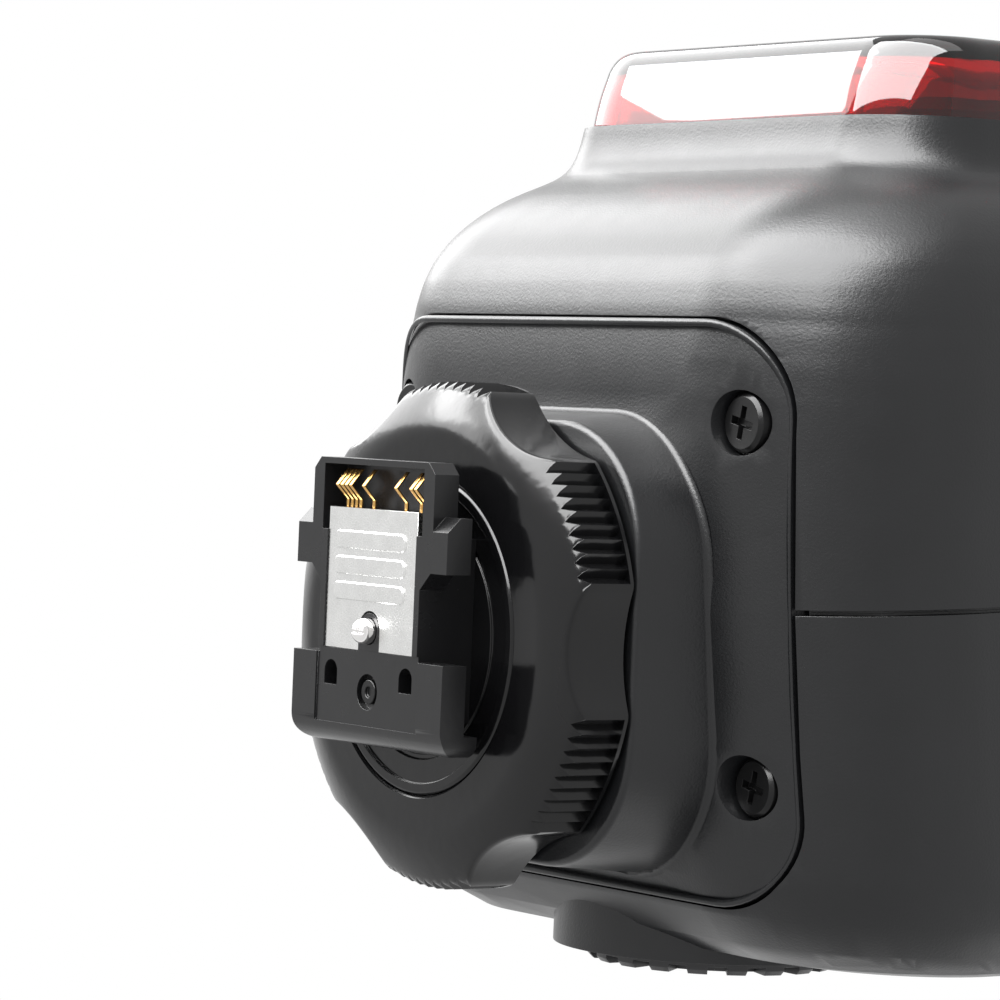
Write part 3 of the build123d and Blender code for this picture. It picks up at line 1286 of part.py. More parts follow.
def release_button():
    """Tilt lock button in the -X cheek, with the lip that keeps it in."""
    side = -HEAD_REAR_HALF_WIDTH
    inner = side + HEAD_WALL + RELEASE_FOOT
    button = drum_x(RELEASE_RADIUS, SWIVEL_Y, TILT_Z, side - RELEASE_STAND, inner)
    button = chamfer(button.edges().group_by(Axis.X)[0], RELEASE_EDGE)
    lip = RELEASE_RADIUS + RELEASE_LIP
    return button + drum_x(lip, SWIVEL_Y, TILT_Z, side + HEAD_WALL + FREE, inner)


def head_bezel():
    """Front frame round the lens, with the card slot above it."""
    low, high = HEAD_LOW - BEZEL_GROW, HEAD_TOP + BEZEL_GROW
    outer = window_rect(HEAD_HALF_WIDTH + BEZEL_GROW, low, high, HEAD_EDGE_ROUND)
    frame = along_y(outer, BEZEL_Y, HEAD_FRONT)
    frame = chamfer(frame.faces().sort_by(Axis.Y)[0].edges(), BEZEL_EDGE)
    lip = LENS_LIP
    view = window_rect(LENS_HALF_WIDTH - lip, LENS_LOW + lip, LENS_HIGH - lip, 2.0)
    frame -= along_y(view, BEZEL_Y - 1, HEAD_FRONT + 1)
    seat = window_rect(LENS_HALF_WIDTH + SEAT, LENS_LOW - SEAT, LENS_HIGH + SEAT, LENS_CORNER)
    frame -= along_y(seat, BEZEL_Y + LENS_RECESS, HEAD_FRONT + 1)
    half = CARD_HALF_WIDTH + FREE
    low = PANEL_PLATE_LOW - FREE
    frame -= block(-half, half, BEZEL_Y - 1, HEAD_FRONT + 1, low, CARD_LOW + CARD_THICK + FREE)
    half = CARD_TAB_HALF_WIDTH + FREE
    rear = BEZEL_Y + CARD_TAB_DEPTH + FREE
    return frame - block(-half, half, BEZEL_Y - 1, rear, low - 0.9, HEAD_TOP - 3.0)


def fresnel_lens():
    """Clear front lens with stepped rings on its inner face."""
    back = BEZEL_Y + LENS_RECESS + LENS_THICK
    outline = window_rect(LENS_HALF_WIDTH, LENS_LOW, LENS_HIGH, LENS_CORNER)
    lens = along_y(outline, BEZEL_Y + LENS_RECESS, back)
    middle = (LENS_LOW + LENS_HIGH) / 2
    for n in range(LENS_RINGS):
        outer = LENS_RING_RADIUS + n * LENS_RING_PITCH
        ring = drum_y(outer, 0, middle, back - LENS_RING_DEPTH, back + 1)
        lens -= ring - drum_y(outer - LENS_RING_WIDTH, 0, middle, back - 1, back + 2)
    return lens


def card(low, thick, back):
    """Thin plate in the card slot with a finger tab at its front."""
    start = BEZEL_Y + CARD_TAB_DEPTH
    plate = block(-CARD_HALF_WIDTH, CARD_HALF_WIDTH, start, back, low, low + thick)
    plate = fillet(plate.edges().filter_by(Axis.Z), 2.0)
    half = CARD_TAB_HALF_WIDTH
    return plate + block(-half, half, BEZEL_Y, start + 1, low, low + thick)


def bounce_card():
    """White card that slides out of the head."""
    return card(CARD_LOW, CARD_THICK, BEZEL_Y + CARD_LENGTH)


def wide_panel():
    """Clear ribbed panel under the card, which slides out the same way."""
    panel = card(PANEL_PLATE_LOW, PANEL_PLATE_THICK, BEZEL_Y + CARD_LENGTH)
    half = CARD_HALF_WIDTH - PANEL_RIB_MARGIN
    top = PANEL_PLATE_LOW + 0.3
    for n in range(PANEL_RIBS):
        y = BEZEL_Y + PANEL_RIB_START + n * PANEL_RIB_PITCH
        panel -= block(-half, half, y, y + PANEL_RIB_WIDTH, PANEL_PLATE_LOW - 1, top)
    return panel


def card_tray():
    """Partition that carries the two cards inside the head."""
    half = HEAD_REAR_HALF_WIDTH - HEAD_WALL - 1.0
    return block(-half, half, HEAD_FRONT + 0.5, HEAD_TAPER_REAR, TRAY_LOW, TRAY_LOW + TRAY_THICK)


# Zoom drive

def reflector():
    """Polished trough round the flash tube."""
    half = REFLECTOR_HALF_WIDTH
    wall = REFLECTOR_WALL
    low, high = REFLECTOR_Z - REFLECTOR_RADIUS, REFLECTOR_Z + REFLECTOR_RADIUS
    mouth = REFLECTOR_MOUTH_Y
    outer = drum_x(REFLECTOR_RADIUS + wall, mouth, REFLECTOR_Z, -half - wall, half + wall)
    outer -= block(-half - 2, half + 2, mouth - 30, mouth, low - 5, high + 5)
    inner = drum_x(REFLECTOR_RADIUS, mouth, REFLECTOR_Z, -half, half)
    trough = outer - inner
    return trough - drum_x(TUBE_RADIUS + SEAT, BACK_Y - TUBE_FROM_BACK, REFLECTOR_Z, -half - 2, half + 2)


def flash_tube():
    """Glass tube across the reflector, with its end caps."""
    half = REFLECTOR_HALF_WIDTH + REFLECTOR_WALL
    tube = drum_x(TUBE_RADIUS, BACK_Y - TUBE_FROM_BACK, REFLECTOR_Z, -half - 1.5, half + 1.5)
    return chamfer(tube.edges(), 0.5)


def zoom_carriage():
    """Carriage behind the reflector, on two guide rods, with the nut of the lead screw."""
    half = REFLECTOR_HALF_WIDTH + REFLECTOR_WALL
    back = BACK_Y + CARRIAGE_THICK
    low = ZOOM_AXIS_Z - ROD_RADIUS - 1.2
    plate = block(-half, half, BACK_Y, back, low, REFLECTOR_Z + REFLECTOR_RADIUS)
    for x in (-ROD_X, ROD_X):
        plate += block(x - 3, x + 3, BACK_Y, back + 5, low, ZOOM_AXIS_Z + ROD_RADIUS + 1.2)
        plate -= drum_y(ROD_RADIUS + RUN, x, ZOOM_AXIS_Z, BACK_Y - 1, back + 6)
    plate += block(-3, 3, BACK_Y, back + 2.5, low, ZOOM_AXIS_Z + SCREW_RADIUS + 1.2)
    return plate - drum_y(SCREW_RADIUS + RUN, 0, ZOOM_AXIS_Z, BACK_Y - 1, back + 6)


def guide_rods():
    """Two polished rods along the head that the carriage slides on."""
    rods = []
    for x in (-ROD_X, ROD_X):
        rods.append(drum_y(ROD_RADIUS, x, ZOOM_AXIS_Z, HEAD_FRONT + 2, MOTOR_Y - 2))
    return Part() + rods


def zoom_motor():
    """Small stepper motor at the rear end of the lead screw."""
    motor = drum_y(MOTOR_RADIUS, 0, ZOOM_AXIS_Z, MOTOR_Y - MOTOR_LENGTH, MOTOR_Y)
    return motor - drum_y(SCREW_RADIUS + RUN, 0, ZOOM_AXIS_Z, MOTOR_Y - MOTOR_LENGTH - 1, MOTOR_Y - 1)


def lead_screw():
    """Screw shaft from the motor to the carriage's nut, with a flat at its free end."""
    start = BACK_Y - 2
    shaft = drum_y(SCREW_RADIUS, 0, ZOOM_AXIS_Z, start, MOTOR_Y - 1.5)
    flat = ZOOM_AXIS_Z + SCREW_RADIUS - SCREW_FLAT
    return shaft - block(-2, 2, start - 1, start + 1.2, flat, ZOOM_AXIS_Z + 3)


def build_all():
    """Every node of the flash by name."""
    shell, skin, base_plate = build_body()
    lower, upper = head_shells()
    nodes = {
        "shoe_foot": shoe_foot(),
        "contact_plate": contact_plate(),
        "contact_springs": contact_springs(),
        "foot_screw": foot_screw(),
        "foot_flange": foot_flange(),
        "lock_pin": lock_pin(),
        "lock_ring": lock_ring(),
        "base_plate": base_plate,
        "base_screws": base_screws(),
        "front_shell": front_shell(shell),
        "rear_shell": rear_shell(shell),
        "red_window": red_window(),
        "window_lamps": window_lamps(),
        "lcd_window": lcd_window(),
        "lcd_panel": lcd_panel(),
        "mode_button": round_key(-ROUND_KEY_X),
        "test_button": round_key(ROUND_KEY_X),
        "power_switch": power_switch(),
        "dial_ring": dial_ring(),
        "set_button": set_button(),
        "battery_pack": battery_pack(skin),
        "battery_bay": battery_bay(),
        "battery_terminals": battery_terminals(),
        "battery_latch": battery_latch(),
        "port_cover": port_cover(skin),
        "sync_socket": sync_socket(),
        "usb_socket": usb_socket(),
        "circuit_board": circuit_board(),
        "main_capacitor": main_capacitor(),
        "swivel_base": swivel_base(),
        "swivel_retainer": swivel_retainer(),
        "neck": neck(),
        "tilt_axle": tilt_axle(),
        "head_lower_shell": lower,
        "head_upper_shell": upper,
        "head_screws": head_screws(),
        "pivot_cap": pivot_cap(),
        "release_button": release_button(),
        "head_bezel": head_bezel(),
        "fresnel_lens": fresnel_lens(),
        "bounce_card": bounce_card(),
        "wide_panel": wide_panel(),
        "card_tray": card_tray(),
        "reflector": reflector(),
        "flash_tube": flash_tube(),
        "zoom_carriage": zoom_carriage(),
        "guide_rods": guide_rods(),
        "zoom_motor": zoom_motor(),
        "lead_screw": lead_screw(),
    }
    for number, x in enumerate(KEY_XS, start=1):
        nodes[f"soft_key_{number}"] = soft_key(x)
    return nodes


os.makedirs("parts", exist_ok=True)
for name, shape in build_all().items():
    export_step(shape, f"parts/{name}.step")
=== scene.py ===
"""Looks of a camera flash: its skins, finishes and studio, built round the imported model."""
from __future__ import annotations

import json
import logging
import math
from collections.abc import Callable
from dataclasses import dataclass, replace
from enum import Enum

import bmesh
import bpy
import numpy as np
from mathutils import Matrix, Vector

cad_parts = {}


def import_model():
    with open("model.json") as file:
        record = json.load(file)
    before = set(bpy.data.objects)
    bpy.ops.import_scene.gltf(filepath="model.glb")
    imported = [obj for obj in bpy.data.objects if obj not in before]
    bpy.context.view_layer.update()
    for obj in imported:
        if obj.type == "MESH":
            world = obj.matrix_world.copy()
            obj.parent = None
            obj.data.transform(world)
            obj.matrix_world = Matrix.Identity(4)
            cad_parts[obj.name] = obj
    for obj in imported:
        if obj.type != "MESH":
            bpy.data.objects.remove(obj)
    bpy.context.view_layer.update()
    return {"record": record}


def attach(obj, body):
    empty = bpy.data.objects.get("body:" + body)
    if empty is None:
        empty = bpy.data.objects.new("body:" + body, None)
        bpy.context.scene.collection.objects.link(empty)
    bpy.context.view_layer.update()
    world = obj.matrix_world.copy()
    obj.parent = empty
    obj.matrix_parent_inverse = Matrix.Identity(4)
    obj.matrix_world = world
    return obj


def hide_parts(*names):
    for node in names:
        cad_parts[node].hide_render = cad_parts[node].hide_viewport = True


LOG = logging.getLogger("camera_flash")
MM = 0.001
Socket = bpy.types.NodeSocket
MIX_AMOUNT, MIX_FIRST, MIX_SECOND, MIX_RESULT = 0, 6, 7, 2
COPY_WELD_MM = 0.004
COPY_FLAT_DEG = 0.6


class Body(Enum):
    """Bodies of the model that new pieces ride on."""

    FLASH = "flash_body"
    RING = "ring"
    PIN = "pin"


# Finishes


class Nodes:
    """Small helper that adds and joins the shader nodes of one tree."""

    def __init__(self, tree: bpy.types.NodeTree) -> None:
        """Empty the tree.

        Args:
            tree: node tree of a material or a world.
        """
        self.tree = tree
        self.tree.nodes.clear()

    def add(self, kind: str, **values: object) -> bpy.types.Node:
        """Add a node and set its properties and unlinked inputs.

        Args:
            kind: the node's type.
            values: property names, or input names with spaces as underscores.

        Returns:
            The new node.
        """
        node = self.tree.nodes.new(kind)
        for key, value in values.items():
            name = key.replace("_", " ")
            if name in node.inputs:
                node.inputs[name].default_value = value
            else:
                setattr(node, key, value)
        return node

    def join(self, source: Socket, target: Socket) -> None:
        """Link an output to an input."""
        self.tree.links.new(source, target)

    def span(self, source: Socket, low: float, high: float,
             start: float = 0.3, end: float = 0.7) -> Socket:
        """Map a value's range onto another, clamped.

        Args:
            source: the value.
            low: result at start.
            high: result at end.
            start: source value that gives low.
            end: source value that gives high.

        Returns:
            The mapped value.
        """
        node = self.add("ShaderNodeMapRange", From_Min=start, From_Max=end, To_Min=low,
                        To_Max=high)
        self.join(source, node.inputs["Value"])
        return node.outputs["Result"]

    def blend(self, amount: Socket, first: tuple | Socket, second: tuple) -> Socket:
        """Mix two colours.

        Args:
            amount: share of the second colour.
            first: colour at 0, plain or from a socket.
            second: colour at 1.

        Returns:
            The mixed colour.
        """
        node = self.add("ShaderNodeMix", data_type="RGBA")
        if isinstance(first, tuple):
            node.inputs[MIX_FIRST].default_value = (*first, 1)
        else:
            self.join(first, node.inputs[MIX_FIRST])
        node.inputs[MIX_SECOND].default_value = (*second, 1)
        self.join(amount, node.inputs[MIX_AMOUNT])
        return node.outputs[MIX_RESULT]

    def bump(self, height: Socket, strength: float, depth: float,
             under: Socket | None = None) -> Socket:
        """Turn a height into a normal.

        Args:
            height: height value.
            strength: share of the effect.
            depth: size of one unit of height, in metres.
            under: normal to build on.

        Returns:
            The bent normal.
        """
        node = self.add("ShaderNodeBump", Strength=strength, Distance=depth)
        self.join(height, node.inputs["Height"])
        if under is not None:
            self.join(under, node.inputs["Normal"])
        return node.outputs["Normal"]


class MaterialNodes(Nodes):
    """Nodes of a new material, with its output and object coordinates."""

    def __init__(self, name: str) -> None:
        """Start an empty node material.

        Args:
            name: the material's name.
        """
        self.material = bpy.data.materials.new(name)
        self.material.use_nodes = True
        super().__init__(self.material.node_tree)
        self.output = self.add("ShaderNodeOutputMaterial")
        self.place = self.add("ShaderNodeTexCoord").outputs["Object"]

    def close(self, shader: bpy.types.Node) -> bpy.types.Material:
        """Give the material its surface.

        Args:
            shader: the last shader node.

        Returns:
            The material.
        """
        self.join(shader.outputs[0], self.output.inputs["Surface"])
        return self.material

    def noise(self, scale: float, detail: float = 2.0,
              rough: float = 0.5) -> Socket:
        """Noise on object coordinates.

        Args:
            scale: cycles per metre.
            detail: octaves.
            rough: strength of each further octave.

        Returns:
            The noise's value.
        """
        node = self.add("ShaderNodeTexNoise", Scale=scale, Detail=detail, Roughness=rough)
        self.join(self.place, node.inputs["Vector"])
        return node.outputs["Fac"]


@dataclass(frozen=True)
class Moulding:
    """Moulded plastic: coloured, with a fine eroded grain, slow waviness and a few dust specks."""

    TONE_MM = 9
    DARKER = 0.88
    LIGHTER = 1.14
    GLOSS_PATCH_MM = 2.2
    GRAIN_DEPTH_MM = 0.03
    WAVE_DEPTH_MM = 0.08
    DUST_CELL_MM = 3.6
    DUST_PATCH_MM = 5.1
    DUST_GREY = (0.5, 0.5, 0.5)

    name: str
    colour: tuple = (0.03, 0.03, 0.032)
    roughness: float = 0.45
    grain_mm: float = 0.35
    grain: float = 0.25
    wave_mm: float = 4.0
    wave: float = 0.0
    specular: float = 0.5
    dust: float = 0.0

    def build(self) -> bpy.types.Material:
        """Make the material.

        Returns:
            The material.
        """
        nodes = MaterialNodes(self.name)
        shader = nodes.add("ShaderNodeBsdfPrincipled")
        tone = nodes.span(nodes.noise(1 / (self.TONE_MM * MM), 3), 0.0, 1.0)
        dark = tuple(c * self.DARKER for c in self.colour)
        light = tuple(min(c * self.LIGHTER, 1) for c in self.colour)
        colour = nodes.blend(tone, dark, light)
        if self.dust:
            colour = self.dusted(nodes, colour)
        nodes.join(colour, shader.inputs["Base Color"])
        fine = nodes.noise(1 / (self.grain_mm * MM), 2, 0.55)
        patches = nodes.noise(1 / (self.GLOSS_PATCH_MM * MM), 3)
        rough = nodes.span(patches, self.roughness - 0.01, self.roughness + 0.02)
        nodes.join(rough, shader.inputs["Roughness"])
        shader.inputs["Specular IOR Level"].default_value = self.specular
        normal = nodes.bump(fine, self.grain, self.GRAIN_DEPTH_MM * MM)
        if self.wave:
            slow = nodes.noise(1 / (self.wave_mm * MM), 2, 0.5)
            normal = nodes.bump(slow, self.wave, self.WAVE_DEPTH_MM * MM, normal)
        nodes.join(normal, shader.inputs["Normal"])
        return nodes.close(shader)

    def dusted(self, nodes: MaterialNodes, colour: Socket) -> Socket:
        """Lay a few pale specks over the colour.

        Args:
            nodes: the material's nodes.
            colour: the plain colour.

        Returns:
            The colour with its specks.
        """
        cells = nodes.add("ShaderNodeTexVoronoi", Scale=1 / (self.DUST_CELL_MM * MM),
                          Randomness=1.0)
        nodes.join(nodes.place, cells.inputs["Vector"])
        speck = nodes.span(cells.outputs["Distance"], 1.0, 0.0, 0.016, 0.028)
        patches = nodes.noise(1 / (self.DUST_PATCH_MM * MM), 0)
        chosen = nodes.span(patches, 0.0, self.dust, 0.5, 0.62)
        both = nodes.add("ShaderNodeMath", operation="MULTIPLY")
        nodes.join(speck, both.inputs[0])
        nodes.join(chosen, both.inputs[1])
        return nodes.blend(both.outputs[0], colour, self.DUST_GREY)


@dataclass(frozen=True)
class Metal:
    """Bare or plated metal with brushed or grainy roughness."""

    TONE_MM = 1.7
    DARKER = 0.9
    SMOOTHER = 0.8
    ROUGHER = 1.3
    GRAIN_DEPTH_MM = 0.02

    name: str
    colour: tuple = (0.7, 0.7, 0.7)
    roughness: float = 0.25
    grain_mm: float = 0.2
    grain: float = 0.2
    stretch: tuple = (1.0, 1.0, 1.0)

    def build(self) -> bpy.types.Material:
        """Make the material.

        Returns:
            The material.
        """
        nodes = MaterialNodes(self.name)
        shader = nodes.add("ShaderNodeBsdfPrincipled", Metallic=1.0)
        mapping = nodes.add("ShaderNodeMapping")
        mapping.inputs["Scale"].default_value = self.stretch
        nodes.join(nodes.place, mapping.inputs["Vector"])
        fine = nodes.add("ShaderNodeTexNoise", Scale=1 / (self.grain_mm * MM), Detail=2.0)
        nodes.join(mapping.outputs[0], fine.inputs["Vector"])
        tone = nodes.span(nodes.noise(1 / (self.TONE_MM * MM), 3), 0.0, 1.0)
        colour = nodes.blend(tone, tuple(c * self.DARKER for c in self.colour), self.colour)
        nodes.join(colour, shader.inputs["Base Color"])
        rough = nodes.span(fine.outputs["Fac"], self.roughness * self.SMOOTHER,
                           self.roughness * self.ROUGHER)
        nodes.join(rough, shader.inputs["Roughness"])
        normal = nodes.bump(fine.outputs["Fac"], self.grain, self.GRAIN_DEPTH_MM * MM)
        nodes.join(normal, shader.inputs["Normal"])
        return nodes.close(shader)


@dataclass(frozen=True)
class Clear:
    """Clear or coloured plastic or glass that light passes through."""

    GLOSS_PATCH_MM = 6
    WAVE_MM = 5
    WAVE_DEPTH_MM = 0.05

    name: str
    colour: tuple = (1.0, 1.0, 1.0)
    roughness: float = 0.02
    ior: float = 1.49
    wave: float = 0.0

    def build(self) -> bpy.types.Material:
        """Make the material.

        Returns:
            The material.
        """
        nodes = MaterialNodes(self.name)
        shader = nodes.add("ShaderNodeBsdfPrincipled", Base_Color=(*self.colour, 1),
                           IOR=self.ior, Transmission_Weight=1.0)
        patches = nodes.noise(1 / (self.GLOSS_PATCH_MM * MM), 2)
        rough = nodes.span(patches, self.roughness, self.roughness + 0.02)
        nodes.join(rough, shader.inputs["Roughness"])
        if self.wave:
            slow = nodes.noise(1 / (self.WAVE_MM * MM), 2, 0.4)
            normal = nodes.bump(slow, self.wave, self.WAVE_DEPTH_MM * MM)
            nodes.join(normal, shader.inputs["Normal"])
        return nodes.close(shader)


class Palette:
    """Every finish of the flash, made once and handed out by name."""

    def __init__(self) -> None:
        """List the finishes."""
        listed = [
            Moulding("shell_charcoal", (0.013, 0.0135, 0.015), roughness=0.32, grain_mm=0.2,
                     grain=0.55, specular=0.4),
            Moulding("foot_black", (0.014, 0.014, 0.015), roughness=0.26, grain_mm=0.4, grain=0.14,
                     wave_mm=2.5, wave=0.15, specular=0.35),
            Moulding("ring_black", (0.008, 0.008, 0.0088), roughness=0.15, grain_mm=0.6, grain=0.1,
                     wave_mm=1.5, wave=0.22, specular=0.32, dust=0.7),
            Moulding("key_black", (0.025, 0.025, 0.027), roughness=0.5, grain_mm=0.3, grain=0.2),
            Moulding("dial_black", (0.022, 0.022, 0.024), roughness=0.36, grain_mm=0.4, grain=0.15),
            Moulding("inner_black", (0.012, 0.012, 0.012), roughness=0.6),
            Moulding("screw_black", (0.01, 0.01, 0.0105), roughness=0.3, grain_mm=0.25, grain=0.25,
                     specular=0.25),
            Moulding("soft_rubber", (0.024, 0.024, 0.025), roughness=0.66, grain_mm=0.25,
                     grain=0.3),
            Moulding("card_white", (0.82, 0.82, 0.8), roughness=0.5, grain_mm=0.4, grain=0.1,
                     specular=0.3),
            Moulding("screen_face", (0.30, 0.36, 0.31), roughness=0.3, grain_mm=1.0, grain=0.02),
            Moulding("board_green", (0.02, 0.12, 0.06), roughness=0.35),
            Moulding("sleeve_dark", (0.02, 0.02, 0.035), roughness=0.25),
            Metal("plate_satin", (0.74, 0.74, 0.73), roughness=0.24, grain_mm=0.12, grain=0.4),
            Metal("spring_gold", (0.62, 0.36, 0.11), roughness=0.2, grain_mm=0.2, grain=0.1),
            Metal("pin_chrome", (0.84, 0.83, 0.82), roughness=0.09, grain_mm=0.4, grain=0.06),
            Metal("steel", (0.62, 0.62, 0.63), roughness=0.22, grain_mm=0.15, grain=0.15,
                  stretch=(1.0, 0.1, 1.0)),
            Metal("mirror_bright", (0.88, 0.88, 0.88), roughness=0.06, grain_mm=0.5, grain=0.03),
            Clear("filter_red", (0.36, 0.0004, 0.0012), roughness=0.012, wave=0.08),
            Clear("lens_clear", (0.94, 0.95, 0.96), roughness=0.04),
            Clear("screen_cover", (0.55, 0.57, 0.58), roughness=0.01),
        ]
        self.made = {finish.name: finish.build() for finish in listed}

    def __getitem__(self, name: str) -> bpy.types.Material:
        """The material of that name."""
        return self.made[name]


# Mesh tools


def new_piece(name: str, points: np.ndarray, faces: np.ndarray | list,
              material: bpy.types.Material, body: Body, crease: float = 40.0,
              weld: float = 1e-4) -> bpy.types.Object:
    """Put a surface into the scene as a piece.

    Args:
        name: the piece's name.
        points: corner points in millimetres, one row each.
        faces: lists of corner numbers.
        material: the piece's finish.
        body: the body that it rides on.
        crease: degrees from which an edge stays hard.
        weld: millimetres within which corners become one.

    Returns:
        The new object.
    """
    mesh = bpy.data.meshes.new(name)
    places = (np.asarray(points, float) * MM).tolist()
    mesh.from_pydata(places, [], [list(map(int, f)) for f in faces])
    return finish_piece(name, mesh, material, body.value, crease, weld)


def finish_piece(name: str, mesh: bpy.types.Mesh, material: bpy.types.Material, body: str,
                 crease: float = 40.0, weld: float = 1e-4) -> bpy.types.Object:
    """Weld, orient, smooth and dress a mesh, and let it ride on its body.

    Args:
        name: the piece's name.
        mesh: its mesh, in metres.
        material: its finish.
        body: the body that it rides on.
        crease: degrees from which an edge stays hard.
        weld: millimetres within which corners become one.

    Returns:
        The new object.
    """
    work = bmesh.new()
    work.from_mesh(mesh)
    bmesh.ops.remove_doubles(work, verts=work.verts, dist=weld * MM)
    bmesh.ops.dissolve_degenerate(work, edges=work.edges, dist=weld * MM * 0.1)
    bmesh.ops.recalc_face_normals(work, faces=work.faces)
    work.to_mesh(mesh)
    work.free()
    mesh.shade_smooth()
    mesh.set_sharp_from_angle(angle=math.radians(crease))
    mesh.materials.clear()
    mesh.materials.append(material)
    piece = bpy.data.objects.new(name, mesh)
    bpy.context.scene.collection.objects.link(piece)
    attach(piece, body)
    LOG.info("%s: %d faces", name, len(mesh.polygons))
    return piece


def grid_faces(rows: int, columns: int, round_rows: bool = False,
               round_columns: bool = False, start: int = 0) -> np.ndarray:
    """Corner numbers of the squares of a grid.

    Args:
        rows: points along the first parameter.
        columns: points along the second parameter.
        round_rows: the last row joins the first.
        round_columns: the last column joins the first.
        start: number of the grid's first point.

    Returns:
        One row of four corner numbers for each square.
    """
    i = np.arange(rows if round_rows else rows - 1)[:, None]
    j = np.arange(columns if round_columns else columns - 1)[None, :]
    i2, j2 = (i + 1) % rows, (j + 1) % columns
    corners = [a * columns + b + start for a, b in ((i, j), (i, j2), (i2, j2), (i2, j))]
    return np.stack([np.broadcast_to(c, (i.size, j.size)) for c in corners], -1).reshape(-1, 4)


